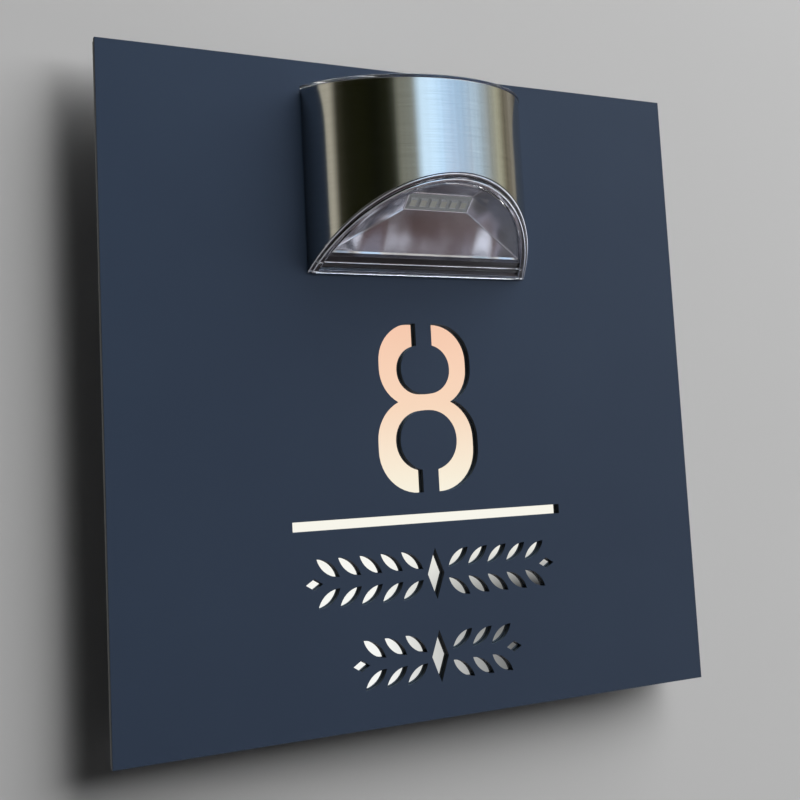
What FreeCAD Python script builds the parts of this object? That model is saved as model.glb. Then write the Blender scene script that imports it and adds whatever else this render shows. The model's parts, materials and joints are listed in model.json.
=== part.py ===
import FreeCAD, Part
import math
import os

import Sketcher

from FreeCAD import Rotation, Vector

# Illuminated house number sign: a cut-out plaque over a mirror sheet, with a solar lamp hung on it.
# Units are millimetres. Z is up, X is to the right and the front faces -Y. The origin is the centre
# of the four wall studs on the wall's face, so the wall is the plane Y = 0.

doc = FreeCAD.newDocument("house_number_sign")

# ---------------------------------------------------------------- driving dimensions

DIMENSIONS = (
    # plaque
    ("panel_width", 300, "front sheet, side to side"),
    ("panel_height", 300, "front sheet, bottom to top"),
    ("panel_thick", 2, "front sheet"),
    ("tape_thick", 0.3, "tape between the sheets"),
    ("tape_width", 14, "one strip of tape"),
    ("mirror_thick", 3, "mirror sheet"),
    ("mirror_inset", 0.5, "how far the mirror sheet stays inside the front sheet"),
    ("stand_off", 14.7, "wall to the back of the mirror sheet"),
    # cut-outs
    ("numeral_top", 29.5, "top of the numeral above the middle of the plaque"),
    ("numeral_height", 78, "whole numeral"),
    ("numeral_upper_width", 48, "upper bowl"),
    ("numeral_lower_width", 52, "lower bowl"),
    ("numeral_waist", 36.5, "top of the numeral down to its waist"),
    ("numeral_notch", 2, "how far each bowl passes the waist line"),
    ("numeral_stroke", 11.2, "width of the strokes at the sides"),
    ("numeral_cap", 9.9, "height of the strokes at the top and bottom"),
    ("numeral_bar", 7.6, "height of the stroke at the waist"),
    ("numeral_bridge", 8.4, "stencil bridge that holds each counter"),
    ("upper_radius", 17.5, "corners of the upper bowl"),
    ("lower_radius", 19.5, "corners of the lower bowl"),
    ("upper_counter_radius", 12, "corners of the upper counter"),
    ("lower_counter_radius", 14, "corners of the lower counter"),
    ("bowl_flat", 0.2, "least straight length between two corners of a bowl or counter / 2"),
    ("rule_length", 139, "straight slot under the numeral"),
    ("rule_width", 4.4, "straight slot, its height"),
    ("rule_drop", 60.3, "middle of the plaque down to the slot"),
    ("leaf_length", 13.5, "one leaf of the ornament"),
    ("leaf_width", 4.6, "one leaf, across"),
    ("leaf_tilt", 38, "degrees that a leaf leans from the row"),
    ("leaf_rise", 6.6, "row line to the middle of a leaf"),
    ("leaf_first", 12, "middle of the row to the first leaf"),
    ("leaf_pitch", 10.4, "leaf to leaf"),
    ("lozenge_width", 8.5, "lozenge in the middle of a row"),
    ("lozenge_height", 23, "lozenge in the middle of a row"),
    ("tip_width", 8, "lozenge at the end of a row"),
    ("tip_height", 5, "lozenge at the end of a row"),
    ("long_row_drop", 85.5, "middle of the plaque down to the long row"),
    ("long_row_pairs", 5, "leaf pairs each side in the long row"),
    ("short_row_drop", 122.5, "middle of the plaque down to the short row"),
    ("short_row_pairs", 3, "leaf pairs each side in the short row"),
    # wall fixings
    ("stud_span_across", 240, "stud to stud, side to side"),
    ("stud_span_up", 240, "stud to stud, bottom to top"),
    ("stud_radius", 2.5, "M5 stud"),
    ("stud_neck", 2, "M4 neck of the stud, inside its base and sleeve"),
    ("stud_reach", 35, "stud length inside the wall"),
    ("stud_seat", 4, "stud length inside its base"),
    ("stud_point", 0.8, "chamfer at the stud's end"),
    ("base_radius", 12, "bonded foot of a stud base"),
    ("base_foot", 2, "thickness of the foot"),
    ("base_height", 5, "whole stud base"),
    ("hub_radius", 5.5, "threaded hub of a stud base"),
    ("spacer_radius", 6, "sleeve between base and wall pad"),
    ("pad_radius", 8, "soft washer on the wall"),
    ("pad_thick", 1, "soft washer on the wall"),
    ("stud_clearance", 0.4, "round a stud in its sleeve and washer"),
    ("thread_clearance", 0.05, "round a screw or stud in its own thread"),
    # hanging screws
    ("hang_span", 60, "screw to screw"),
    ("hang_rise", 62, "bottom of the lamp up to the screws"),
    ("hang_travel", 7, "lift that frees the lamp"),
    ("hang_radius", 2, "M4 screw"),
    ("hang_head_radius", 3.6, "pan head"),
    ("hang_head_thick", 2.4, "pan head"),
    ("hang_head_round", 0.8, "bevel of the pan head"),
    ("hang_point", 1, "screw beyond its lock nut"),
    ("hang_slot_clearance", 0.3, "round the shank in its slot"),
    ("hang_head_clearance", 0.6, "round the head in its pocket"),
    ("washer_radius", 4.5, "washer behind the mirror sheet"),
    ("washer_thick", 0.8, "washer behind the mirror sheet"),
    ("nut_radius", 4, "lock nut, across its corners / 2"),
    ("nut_thick", 3.2, "lock nut"),
    # lamp
    ("lamp_rise", 53, "middle of the plaque up to the bottom of the lamp"),
    ("lamp_width", 114, "at the plaque"),
    ("lamp_depth", 44, "plaque to the front of the shell"),
    ("lamp_height", 83.5, "shell at the plaque"),
    ("roof_drop", 3.5, "fall of the roof from back to front"),
    ("floor_rise", 38, "climb of the window from back to front"),
    ("slide_gap", 0.3, "between the lamp's back and the plaque"),
    ("shell_thick", 0.8, "stainless sheet"),
    ("mould_gap", 0.2, "between the shell and what is inside it"),
    ("housing_wall", 1.8, "black moulding"),
    ("window_thick", 1.5, "clear roof window"),
    ("edge_proud", 0.4, "roof window and lens beyond the shell's round"),
    ("cell_inset", 4, "edge of the cell inside the housing's wall"),
    ("cell_thick", 0.4, "solar cell"),
    ("cell_pad_thick", 1, "foam strips under the cell"),
    ("cell_pad_width", 4, "foam strips under the cell, back to front"),
    ("cell_pad_length", 38, "foam strips under the cell, side to side"),
    ("cell_pad_front", 26.4, "lamp's back to the front strip"),
    ("deck_thick", 2, "shelf under the cell"),
    ("cover_thick", 2.4, "back cover"),
    ("seal_thick", 1, "gaskets"),
    ("sill_height", 4, "bar across the back of the housing"),
    ("sill_thick", 1.8, "the same bar, back to front"),
    ("lens_pane", 1.8, "clear pane and spigot inside the shell"),
    ("lens_flange", 1.4, "flange that closes the shell's lower edge"),
    ("lens_step", 1.1, "second step under the flange"),
    ("lens_step_inset", 0.9, "second step inside the edge of the flange"),
    ("lens_web", 0.5, "flange left under the pane"),
    ("lens_rim", 2.6, "width of the second step round the pane"),
    ("lens_back_rim", 1.3, "width of the second step along the back"),
    ("reflector_thick", 0.9, "metallised moulding"),
    ("reflector_flange", 1.5, "rim that lies on the lens"),
    ("reflector_ledge", 0.5, "flange inside the foot of the facets"),
    ("reflector_height", 10.5, "lens to LED board, straight up"),
    ("led_slot_width", 33, "top of the reflector, side to side"),
    ("led_slot_depth", 7, "top of the reflector, back to front"),
    ("led_slot_setback", 17, "lamp's back to the top of the reflector"),
    ("led_board_margin", 2.5, "board beyond the top of the reflector"),
    ("led_board_thick", 1.2, "LED board"),
    ("led_count", 6, "LEDs in the strip"),
    ("led_pitch", 5.2, "LED to LED"),
    ("led_length", 3.6, "one LED"),
    ("led_width", 3, "one LED"),
    ("led_thick", 0.9, "one LED"),
    # screws that hold the back cover
    ("cover_screw_inset", 8.5, "side of the lamp in to a screw"),
    ("cover_screw_low", 30, "bottom of the lamp up to the lower pair"),
    ("cover_screw_high", 70, "bottom of the lamp up to the upper pair"),
    ("cover_screw_radius", 1.4, "shank"),
    ("cover_screw_length", 10, "shank"),
    ("cover_head_radius", 2.7, "head"),
    ("cover_head_thick", 1.3, "head"),
    ("cover_head_sink", 0.1, "head below the cover's face"),
    ("overcut", 1, "how far a cutter passes the face that it opens"),
    ("boss_radius", 3.5, "screw boss"),
    ("boss_length", 11, "screw boss"),
    # control board, switch and button
    ("board_width", 52, "control board"),
    ("board_height", 19, "control board"),
    ("board_thick", 1.2, "control board"),
    ("board_rise", 27, "bottom of the lamp up to the board"),
    ("board_setback", 10, "lamp's back to the board"),
    ("part_rise", 13.7, "board's lower edge up to the coil and the capacitor"),
    ("coil_radius", 3.2, "power coil"),
    ("coil_thick", 3, "power coil"),
    ("coil_offset", 10.4, "middle of the board to the coil, and to the capacitor"),
    ("capacitor_radius", 2.4, "capacitor"),
    ("capacitor_length", 4.5, "capacitor"),
    ("chip_width", 6.3, "charge controller"),
    ("chip_height", 4.8, "charge controller"),
    ("chip_thick", 1.4, "charge controller"),
    ("chip_rise", 11.8, "board's lower edge up to the controller"),
    ("post_span", 44, "board post to board post"),
    ("post_radius", 2.6, "board and battery posts"),
    ("small_screw_radius", 1.1, "board and battery screws"),
    ("small_screw_length", 5, "board and battery screws"),
    ("small_head_radius", 2.1, "board and battery screws"),
    ("small_head_thick", 1.3, "board and battery screws"),
    ("switch_size", 9, "switch body, square"),
    ("switch_depth", 4.6, "switch body, along the button"),
    ("button_rise", 38, "bottom of the lamp up to the button"),
    ("button_radius", 3.4, "button cap"),
    ("button_length", 3.2, "button cap"),
    ("button_setback", 0.4, "cap's face inside the cover's face"),
    ("button_travel", 1.5, "full press"),
    ("stem_radius", 1.8, "button stem"),
    ("stem_seat", 1.6, "stem length inside the switch at rest"),
    ("fit_clearance", 0.06, "round the button and its stem"),
    # battery
    ("battery_radius", 7.1, "AA cell"),
    ("battery_length", 49, "AA cell without its cap"),
    ("battery_cap_radius", 2.6, "AA cell's cap"),
    ("battery_cap_length", 1.3, "AA cell's cap"),
    ("battery_rise", 61, "bottom of the lamp up to the cell's axis"),
    ("holder_setback", 9.4, "lamp's back to the holder"),
    ("holder_floor", 2.4, "back of the holder"),
    ("holder_wall", 1.4, "walls of the holder"),
    ("holder_reach", 12, "walls of the holder, back to front"),
    ("holder_clearance", 0.3, "round the cell"),
    ("holder_post_span", 24, "post to post"),
    ("contact_room", 4.4, "spring end of the holder"),
    ("contact_thick", 0.4, "contact plate"),
    ("contact_size", 11.4, "contact plate, square"),
    ("spring_wire", 0.35, "contact spring, radius of the wire"),
    ("spring_radius", 3.4, "contact spring"),
    ("spring_turns", 2.5, "contact spring"),
    ("spring_gap", 0.05, "between the spring and what it touches at each end"),
    # leads
    ("lead_radius", 0.6, "insulated wire"),
    ("lead_spacing", 1.8, "wire to wire"),
    ("lead_bend", 4, "bend radius of a wire"),
    ("lead_tight_bend", 1.8, "bend radius of the LED strip's wires"),
    ("lead_gap", 0.05, "between a wire's end and what it is soldered to"),
    ("deck_hole_radius", 2.4, "where the cell's leads pass the deck"),
    ("deck_hole_inset", 17, "side of the lamp in to that hole"),
)

sheet = doc.addObject("Spreadsheet::Sheet", "dims")
for row, (alias, number, note) in enumerate(DIMENSIONS, start=1):
    sheet.set(f"A{row}", note)
    sheet.set(f"B{row}", str(number))
    sheet.setAlias(f"B{row}", alias)
doc.recompute()

# ---------------------------------------------------------------- helpers

UP = Rotation()
FORWARD = Rotation(Vector(1, 0, 0), 90)
BACKWARD = Rotation(Vector(1, 0, 0), -90)
RIGHTWARD = Rotation(Vector(0, 1, 0), 90)
SIDE_VIEW = Rotation(Vector(1, 1, 1), 120)
pieces = []


def value(formula):
    """Number that a formula gives with the sheet's present sizes."""
    number = sheet.evalExpression(formula)
    return float(getattr(number, "Value", number))


def count(alias):
    """Whole number from the sheet."""
    return int(round(value(f"dims.{alias}")))


def tie(item, **formulas):
    """Bind properties of an object to formulas over the sheet."""
    for name, formula in formulas.items():
        item.setExpression(name, formula)
    return item


def put(item, x="0", y="0", z="0", turn=UP):
    """Turn an object, then bind where it stands."""
    item.Placement = FreeCAD.Placement(Vector(), turn)
    for axis, formula in zip("xyz", (x, y, z)):
        item.setExpression(f"Placement.Base.{axis}", formula)
    return item


def keep(item):
    """Record a finished sub-part, which is written under its label."""
    pieces.append(item)
    return item


def box(name, length, width, height, x="0", y="0", z="0"):
    """Box centred on x, from its back face y forwards and from z up."""
    solid = doc.addObject("Part::Box", name)
    tie(solid, Length=length, Width=width, Height=height)
    return put(solid, f"{x} - ({length}) / 2", f"{y} - ({width})", z)


def rod(name, radius, length, x="0", y="0", z="0", turn=FORWARD):
    """Cylinder from its start point along the direction that turn gives."""
    solid = doc.addObject("Part::Cylinder", name)
    tie(solid, Radius=radius, Height=length)
    return put(solid, x, y, z, turn)


def join(name, *items):
    """Union."""
    solid = doc.addObject("Part::MultiFuse", name)
    solid.Shapes = list(items)
    return solid


def group(name, items):
    """Several separate solids in one object."""
    cluster = doc.addObject("Part::Compound", name)
    cluster.Links = list(items)
    return cluster


def cut(name, base, *tools):
    """Base with every tool taken away."""
    solid = doc.addObject("Part::Cut", name)
    solid.Base = base
    solid.Tool = tools[0] if len(tools) == 1 else join(f"{name}_tools", *tools)
    return solid


def common(name, first, second):
    """What two solids share."""
    solid = doc.addObject("Part::Common", name)
    solid.Base = first
    solid.Tool = second
    return solid


def copies(name, item, places, turn=UP):
    """One solid repeated at bound places."""
    links = []
    for index, (x, y, z) in enumerate(places):
        link = doc.addObject("App::Link", f"{name}_{index}")
        link.LinkedObject = item
        links.append(put(link, x, y, z, turn))
    return group(name, links)


def draw(sketch, corners):
    """Closed outline whose corners each follow two formulas."""
    points = [Vector(value(across), value(up), 0) for across, up in corners]
    for index, point in enumerate(points):
        following = points[(index + 1) % len(points)]
        sketch.addGeometry(Part.LineSegment(point, following))
    for index in range(len(points)):
        following = (index + 1) % len(points)
        sketch.addConstraint(Sketcher.Constraint("Coincident", index, 2, following, 1))
    for index, formulas in enumerate(corners):
        for kind, number, formula in zip(("DistanceX", "DistanceY"), points[index], formulas):
            held = sketch.addConstraint(Sketcher.Constraint(kind, -1, 1, index, 1, number))
            sketch.setExpression(f"Constraints[{held}]", formula)
    return sketch


def extrude(name, sketch, direction, forth, back="0"):
    """Solid from a sketch, with its length bound."""
    solid = doc.addObject("Part::Extrusion", name)
    solid.Base = sketch
    solid.DirMode = "Custom"
    solid.Dir = direction
    solid.Solid = True
    return tie(solid, LengthFwd=forth, LengthRev=back)


def turned(name, corners):
    """Turned body: an outline of (radius, height) corners spun about Z."""
    body = doc.addObject("PartDesign::Body", name)
    plane = [item for item in body.Origin.OriginFeatures if item.Role == "XZ_Plane"][0]
    sketch = body.newObject("Sketcher::SketchObject", f"{name}_profile")
    sketch.AttachmentSupport = [(plane, "")]
    sketch.MapMode = "FlatFace"
    draw(sketch, corners)
    spin = body.newObject("PartDesign::Revolution", f"{name}_spin")
    spin.Profile = sketch
    spin.ReferenceAxis = (sketch, ["V_Axis"])
    spin.Angle = 360
    body.Tip = spin
    return body


# ---------------------------------------------------------------- planes that several pieces share

MIRROR_BACK = "(0 - dims.stand_off)"
MIRROR_FRONT = f"({MIRROR_BACK} - dims.mirror_thick)"
PANEL_BACK = f"({MIRROR_FRONT} - dims.tape_thick)"
PANEL_FRONT = f"({PANEL_BACK} - dims.panel_thick)"
LAMP_BACK = f"({PANEL_FRONT} - dims.slide_gap)"
LAMP_RADIUS = "(((dims.lamp_width / 2)^2 + dims.lamp_depth^2) / (2 * dims.lamp_depth))"
LAMP_AXIS = f"({LAMP_BACK} - dims.lamp_depth + {LAMP_RADIUS})"

# ---------------------------------------------------------------- plaque: cut-outs


def rounded_outline(name, width, height, radius, z):
    """Upright rectangle with rounded corners, centred on x = 0 and on height z."""
    sketch = put(doc.addObject("Sketcher::SketchObject", name), z=z, turn=FORWARD)
    half_width, half_height, corner = value(width) / 2, value(height) / 2, value(radius)
    reach_x, reach_z = half_width - corner, half_height - corner
    quarters = ((1, 1), (-1, 1), (-1, -1), (1, -1))
    for index, (side, rise) in enumerate(quarters):
        centre = Vector(side * reach_x, rise * reach_z, 0)
        start = index * math.pi / 2
        circle = Part.Circle(centre, Vector(0, 0, 1), corner)
        sketch.addGeometry(Part.ArcOfCircle(circle, start, start + math.pi / 2))
    edges = (
        (Vector(reach_x, half_height, 0), Vector(-reach_x, half_height, 0)),
        (Vector(-half_width, reach_z, 0), Vector(-half_width, -reach_z, 0)),
        (Vector(-reach_x, -half_height, 0), Vector(reach_x, -half_height, 0)),
        (Vector(half_width, -reach_z, 0), Vector(half_width, reach_z, 0)),
    )
    for start, end in edges:
        sketch.addGeometry(Part.LineSegment(start, end))
    for index in range(4):
        line, following = 4 + index, (index + 1) % 4
        sketch.addConstraint(Sketcher.Constraint("Tangent", index, 2, line, 1))
        sketch.addConstraint(Sketcher.Constraint("Tangent", line, 2, following, 1))
        kind = "Horizontal" if index % 2 == 0 else "Vertical"
        sketch.addConstraint(Sketcher.Constraint(kind, line))
    for index in range(1, 4):
        sketch.addConstraint(Sketcher.Constraint("Equal", 0, index))
    sketch.addConstraint(Sketcher.Constraint("Symmetric", 0, 3, 2, 3, -1, 1))
    sizes = (
        (Sketcher.Constraint("Radius", 0, corner), radius),
        (Sketcher.Constraint("DistanceX", 5, 1, 7, 1, 2 * half_width), width),
        (Sketcher.Constraint("DistanceY", 6, 1, 4, 1, 2 * half_height), height),
    )
    for constraint, formula in sizes:
        held = sketch.addConstraint(constraint)
        sketch.setExpression(f"Constraints[{held}]", formula)
    return sketch


CUT_DEPTH = "(2 * dims.panel_thick)"
CUT_START = f"({PANEL_BACK} + dims.panel_thick / 2)"


def bowl(name, width, height, radius, z):
    """Cutter with a rounded outline that runs through the front sheet."""
    limited = f"min({radius}; ({width}) / 2 - dims.bowl_flat; ({height}) / 2 - dims.bowl_flat)"
    sketch = rounded_outline(f"{name}_outline", width, height, limited, z)
    tie(sketch, **{"Placement.Base.y": CUT_START})
    return extrude(name, sketch, Vector(0, -1, 0), CUT_DEPTH)


def numeral_cutter():
    """Stencil figure eight: two bowls less their counters and the two bridges that hold them."""
    waist = "(dims.numeral_top - dims.numeral_waist)"
    bottom = "(dims.numeral_top - dims.numeral_height)"
    upper_height = "(dims.numeral_waist + dims.numeral_notch)"
    lower_height = "(dims.numeral_height - dims.numeral_waist + dims.numeral_notch)"
    upper = bowl("upper_bowl", "dims.numeral_upper_width", upper_height, "dims.upper_radius",
                 f"dims.numeral_top - {upper_height} / 2")
    lower = bowl("lower_bowl", "dims.numeral_lower_width", lower_height, "dims.lower_radius",
                 f"{bottom} + {lower_height} / 2")
    counters = []
    spans = (
        ("upper", f"{waist} + dims.numeral_bar / 2", "dims.numeral_top - dims.numeral_cap"),
        ("lower", f"{bottom} + dims.numeral_cap", f"{waist} - dims.numeral_bar / 2"),
    )
    for side, low, high in spans:
        counters.append(bowl(
            f"{side}_counter", f"(dims.numeral_{side}_width - 2 * dims.numeral_stroke)",
            f"({high} - ({low}))", f"dims.{side}_counter_radius", f"({high} + {low}) / 2"))
    bridges = []
    for side, low in (("top", "dims.numeral_top - dims.numeral_cap * 1.5"),
                      ("bottom", f"{bottom} - dims.numeral_cap / 2")):
        bridges.append(box(f"{side}_bridge", "dims.numeral_bridge", CUT_DEPTH,
                           "dims.numeral_cap * 2", y=CUT_START, z=low))
    outer = join("numeral_outer", upper, lower)
    return cut("numeral", outer, *counters, *bridges)


def diamond(name, width, height):
    """Lozenge cutter round the origin."""
    sketch = put(doc.addObject("Sketcher::SketchObject", f"{name}_outline"), turn=FORWARD)
    draw(sketch, (
        (f"0 - {width} / 2", "0"), ("0", f"0 - {height} / 2"),
        (f"{width} / 2", "0"), ("0", f"{height} / 2"),
    ))
    return extrude(name, sketch, Vector(0, -1, 0), CUT_DEPTH)


def leaf_cutter():
    """Pointed leaf round the origin, its long axis along X, from two equal arcs."""
    sketch = put(doc.addObject("Sketcher::SketchObject", "leaf_outline"), turn=FORWARD)
    radius = "((dims.leaf_length / 2)^2 + (dims.leaf_width / 2)^2) / dims.leaf_width"
    half_length, swell, bow = value("dims.leaf_length / 2"), value("dims.leaf_width / 2"), value(radius)
    for side in (1, -1):
        middle = Vector(0, side * swell, 0)
        arc = Part.Arc(Vector(side * half_length, 0, 0), middle, Vector(-side * half_length, 0, 0))
        sketch.addGeometry(arc)
    sketch.addConstraint(Sketcher.Constraint("Coincident", 0, 2, 1, 1))
    sketch.addConstraint(Sketcher.Constraint("Coincident", 1, 2, 0, 1))
    sketch.addConstraint(Sketcher.Constraint("Symmetric", 0, 1, 0, 2, -1, 1))
    sketch.addConstraint(Sketcher.Constraint("PointOnObject", 0, 1, -1))
    sketch.addConstraint(Sketcher.Constraint("Equal", 0, 1))
    sizes = (
        (Sketcher.Constraint("DistanceX", 0, 2, 0, 1, 2 * half_length), "dims.leaf_length"),
        (Sketcher.Constraint("Radius", 0, bow), radius),
    )
    for constraint, formula in sizes:
        held = sketch.addConstraint(constraint)
        sketch.setExpression(f"Constraints[{held}]", formula)
    return extrude("leaf", sketch, Vector(0, -1, 0), CUT_DEPTH)


def ornament_row(name, drop, pairs, leaf, lozenge, tip):
    """Sprig of leaf pairs that spread from a lozenge to both ends of a row."""
    links = [put(doc.addObject("App::Link", f"{name}_lozenge"), y=CUT_START, z=f"0 - {drop}")]
    links[0].LinkedObject = lozenge
    for side in (1, -1):
        for rise in (1, -1):
            for index in range(pairs):
                link = doc.addObject("App::Link", f"{name}_leaf")
                link.LinkedObject = leaf
                across = f"{side} * (dims.leaf_first + {index} * dims.leaf_pitch)"
                put(link, across, CUT_START, f"{rise} * dims.leaf_rise - {drop}",
                    Rotation(Vector(0, -side * rise, 0), value("dims.leaf_tilt")))
                links.append(tie(link, **{"Placement.Rotation.Angle": "dims.leaf_tilt"}))
        end = doc.addObject("App::Link", f"{name}_tip")
        end.LinkedObject = tip
        across = f"{side} * (dims.leaf_first + {pairs - 1} * dims.leaf_pitch + dims.leaf_length / 2)"
        links.append(put(end, across, CUT_START, f"0 - {drop}"))
    return links


def front_panel():
    """Front sheet with every cut-out and the two threaded holes for the lamp's screws."""
    sheet_blank = box("panel_blank", "dims.panel_width", "dims.panel_thick", "dims.panel_height",
                      y=PANEL_BACK, z="0 - dims.panel_height / 2")
    rule = box("rule", "dims.rule_length", CUT_DEPTH, "dims.rule_width", y=CUT_START,
               z="0 - dims.rule_drop - dims.rule_width / 2")
    leaf = leaf_cutter()
    lozenge = diamond("lozenge", "dims.lozenge_width", "dims.lozenge_height")
    tip = diamond("row_tip", "dims.tip_width", "dims.tip_height")
    rows = ornament_row("long_row", "dims.long_row_drop", count("long_row_pairs"), leaf, lozenge, tip)
    rows += ornament_row("short_row", "dims.short_row_drop", count("short_row_pairs"), leaf, lozenge, tip)
    holes = hanging_holes("panel_hole", CUT_START, CUT_DEPTH)
    return keep(cut("front_panel", sheet_blank, numeral_cutter(), rule, group("ornament", rows), *holes))


# ---------------------------------------------------------------- plaque: sheets and fixings

HANG_HEIGHT = "(dims.lamp_rise + dims.hang_rise)"
HANG_PLACES = [f"({side} * dims.hang_span / 2)" for side in (-1, 1)]


def hanging_holes(name, start, length):
    """Pair of cutters for the threads of the hanging screws."""
    return [rod(f"{name}_{index}", "dims.hang_radius + dims.thread_clearance", length, x, start, HANG_HEIGHT)
            for index, x in enumerate(HANG_PLACES)]


def mirror_sheet():
    """Mirror-faced sheet behind the front sheet, a little smaller than it."""
    blank = box("mirror_blank", "dims.panel_width - 2 * dims.mirror_inset", "dims.mirror_thick",
                "dims.panel_height - 2 * dims.mirror_inset", y=MIRROR_BACK,
                z="0 - dims.panel_height / 2 + dims.mirror_inset")
    start = f"({MIRROR_BACK} + dims.mirror_thick)"
    return keep(cut("mirror_sheet", blank, *hanging_holes("mirror_hole", start, "dims.mirror_thick * 3")))


def bonding_tape():
    """Frame of tape round the edge and one strip across, behind the top of the numeral."""
    inset = "2 * dims.mirror_inset"
    width = f"(dims.panel_width - 2 * {inset})"
    height = f"(dims.panel_height - 2 * {inset})"
    strips = []
    for name, low in (("bottom", f"{inset} - dims.panel_height / 2"),
                      ("top", f"dims.panel_height / 2 - {inset} - dims.tape_width")):
        strips.append(box(f"tape_{name}", width, "dims.tape_thick", "dims.tape_width",
                          y=MIRROR_FRONT, z=low))
    for side in (-1, 1):
        middle = f"{side} * ({width} - dims.tape_width) / 2"
        strips.append(box(f"tape_side_{side + 1}", "dims.tape_width", "dims.tape_thick",
                          f"({height} - 2 * dims.tape_width)", x=middle, y=MIRROR_FRONT,
                          z=f"0 - ({height} - 2 * dims.tape_width) / 2"))
    across = box("tape_across", f"({width} - 2 * dims.tape_width)", "dims.tape_thick", "dims.tape_width",
                 y=MIRROR_FRONT, z="dims.numeral_top + dims.tape_width / 2")
    return keep(group("bonding_tape", strips + [across]))


STUD_PLACES = [(f"{side} * dims.stud_span_across / 2", f"{rise} * dims.stud_span_up / 2")
               for side in (-1, 1) for rise in (-1, 1)]


def wall_fixings():
    """Four sets of bonded base, stud, sleeve and soft washer."""
    thread = "(dims.stud_neck + dims.thread_clearance)"
    loose = "(dims.stud_radius + dims.stud_clearance)"
    blind = "(dims.base_height - dims.stud_seat)"
    sleeve = "(dims.stand_off - dims.base_height - dims.pad_thick)"
    base = turned("stud_base", (
        ("0", "0"), ("dims.base_radius", "0"), ("dims.base_radius", "dims.base_foot"),
        ("dims.hub_radius", "dims.base_foot"), ("dims.hub_radius", "dims.base_height"),
        (thread, "dims.base_height"), (thread, blind), ("0", blind),
    ))
    point = "dims.stud_point"
    length = "(dims.stand_off - dims.base_height + dims.stud_seat + dims.stud_reach)"
    neck = f"(dims.stand_off - {blind})"
    stud = turned("wall_stud", (
        ("0", "0"), ("dims.stud_neck", "0"), ("dims.stud_neck", neck), ("dims.stud_radius", neck),
        ("dims.stud_radius", f"{length} - {point}"), (f"dims.stud_radius - {point}", length), ("0", length),
    ))
    spacer = turned("spacer", (
        (loose, "0"), ("dims.spacer_radius", "0"), ("dims.spacer_radius", sleeve), (loose, sleeve),
    ))
    pad = turned("wall_pad", (
        (loose, "0"), ("dims.pad_radius", "0"), ("dims.pad_radius", "dims.pad_thick"),
        (loose, "dims.pad_thick"),
    ))
    stacks = (
        ("stud_bases", base, MIRROR_BACK),
        ("wall_studs", stud, f"{MIRROR_BACK} + {blind}"),
        ("spacers", spacer, f"{MIRROR_BACK} + dims.base_height"),
        ("wall_pads", pad, "0 - dims.pad_thick"),
    )
    for name, item, start in stacks:
        places = [(x, start, z) for x, z in STUD_PLACES]
        keep(copies(name, item, places, BACKWARD))


def hanging_hardware():
    """Two pan-head screws in the front sheet's threads, each locked by a washer and nut behind."""
    head_back = f"({LAMP_BACK} - dims.cover_thick - dims.slide_gap)"
    end = f"({MIRROR_BACK} + dims.washer_thick + dims.nut_thick + dims.hang_point)"
    length = f"({end} - {head_back})"
    round_over = "dims.hang_head_round"
    screw = turned("hanging_screw", (
        ("0", "0"), ("dims.hang_radius", "0"), ("dims.hang_radius", length),
        ("dims.hang_head_radius", length),
        ("dims.hang_head_radius", f"{length} + dims.hang_head_thick - {round_over}"),
        (f"dims.hang_head_radius - {round_over}", f"{length} + dims.hang_head_thick"),
        ("0", f"{length} + dims.hang_head_thick"),
    ))
    bore = "(dims.hang_radius + dims.thread_clearance)"
    washer = turned("hanging_washer", (
        (bore, "0"), ("dims.washer_radius", "0"), ("dims.washer_radius", "dims.washer_thick"),
        (bore, "dims.washer_thick"),
    ))
    prism = doc.addObject("Part::Prism", "nut_blank")
    prism.Polygon = 6
    tie(prism, Circumradius="dims.nut_radius", Height="dims.nut_thick")
    nut_bore = rod("nut_bore", bore, "dims.nut_thick * 3", z="0 - dims.nut_thick", turn=UP)
    nut = cut("hanging_nut", prism, nut_bore)
    stacks = (
        ("hanging_screws", screw, end, FORWARD),
        ("hanging_washers", washer, f"{MIRROR_BACK}", BACKWARD),
        ("hanging_nuts", nut, f"{MIRROR_BACK} + dims.washer_thick", BACKWARD),
    )
    for name, item, start, turn in stacks:
        keep(copies(name, item, [(x, start, HANG_HEIGHT) for x in HANG_PLACES], turn))


# ---------------------------------------------------------------- lamp: shared shapes


def on_lamp(depth):
    """Y of a depth measured forwards from the lamp's back."""
    return f"({LAMP_BACK} - ({depth}))"


def above(rise):
    """Z of a height measured up from the bottom of the lamp."""
    return f"(dims.lamp_rise + {rise})"


def floor_at(depth, offset):
    """Height of the sloping window plane at a depth from the lamp's back, plus an offset."""
    return f"(dims.lamp_rise + dims.floor_rise * ({depth}) / dims.lamp_depth + ({offset}))"


def roof_at(depth, offset):
    """Height of the sloping roof plane at a depth from the lamp's back, plus an offset."""
    return f"(dims.lamp_rise + dims.lamp_height - dims.roof_drop * ({depth}) / dims.lamp_depth + ({offset}))"


BEYOND = "(dims.lamp_depth + 6 * dims.overcut)"
UNDER_CELL = "dims.cell_thick"
DECK_TOP = f"({UNDER_CELL} + dims.cell_pad_thick)"
DECK_UNDER = f"({DECK_TOP} + dims.deck_thick)"
IN_SHELL = "(dims.shell_thick + dims.mould_gap)"
IN_HOUSING = f"({IN_SHELL} + dims.housing_wall)"
HOUSING_BACK = "(dims.cover_thick + dims.seal_thick)"
LENS_TOP = "dims.lens_pane"
HOUSING_FLOOR = f"({LENS_TOP} + dims.seal_thick)"
DECK_HOLE = ("max(dims.lamp_width / 2 - dims.deck_hole_inset; dims.battery_length / 2 + dims.contact_room"
             " + dims.holder_wall + dims.deck_hole_radius)")
SILL_FRONT = f"({HOUSING_BACK} + dims.sill_thick)"
BOARD_MIDDLE = "(dims.board_setback + dims.board_thick / 2)"
BOARD_FRONT = "(dims.board_setback + dims.board_thick)"
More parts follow.
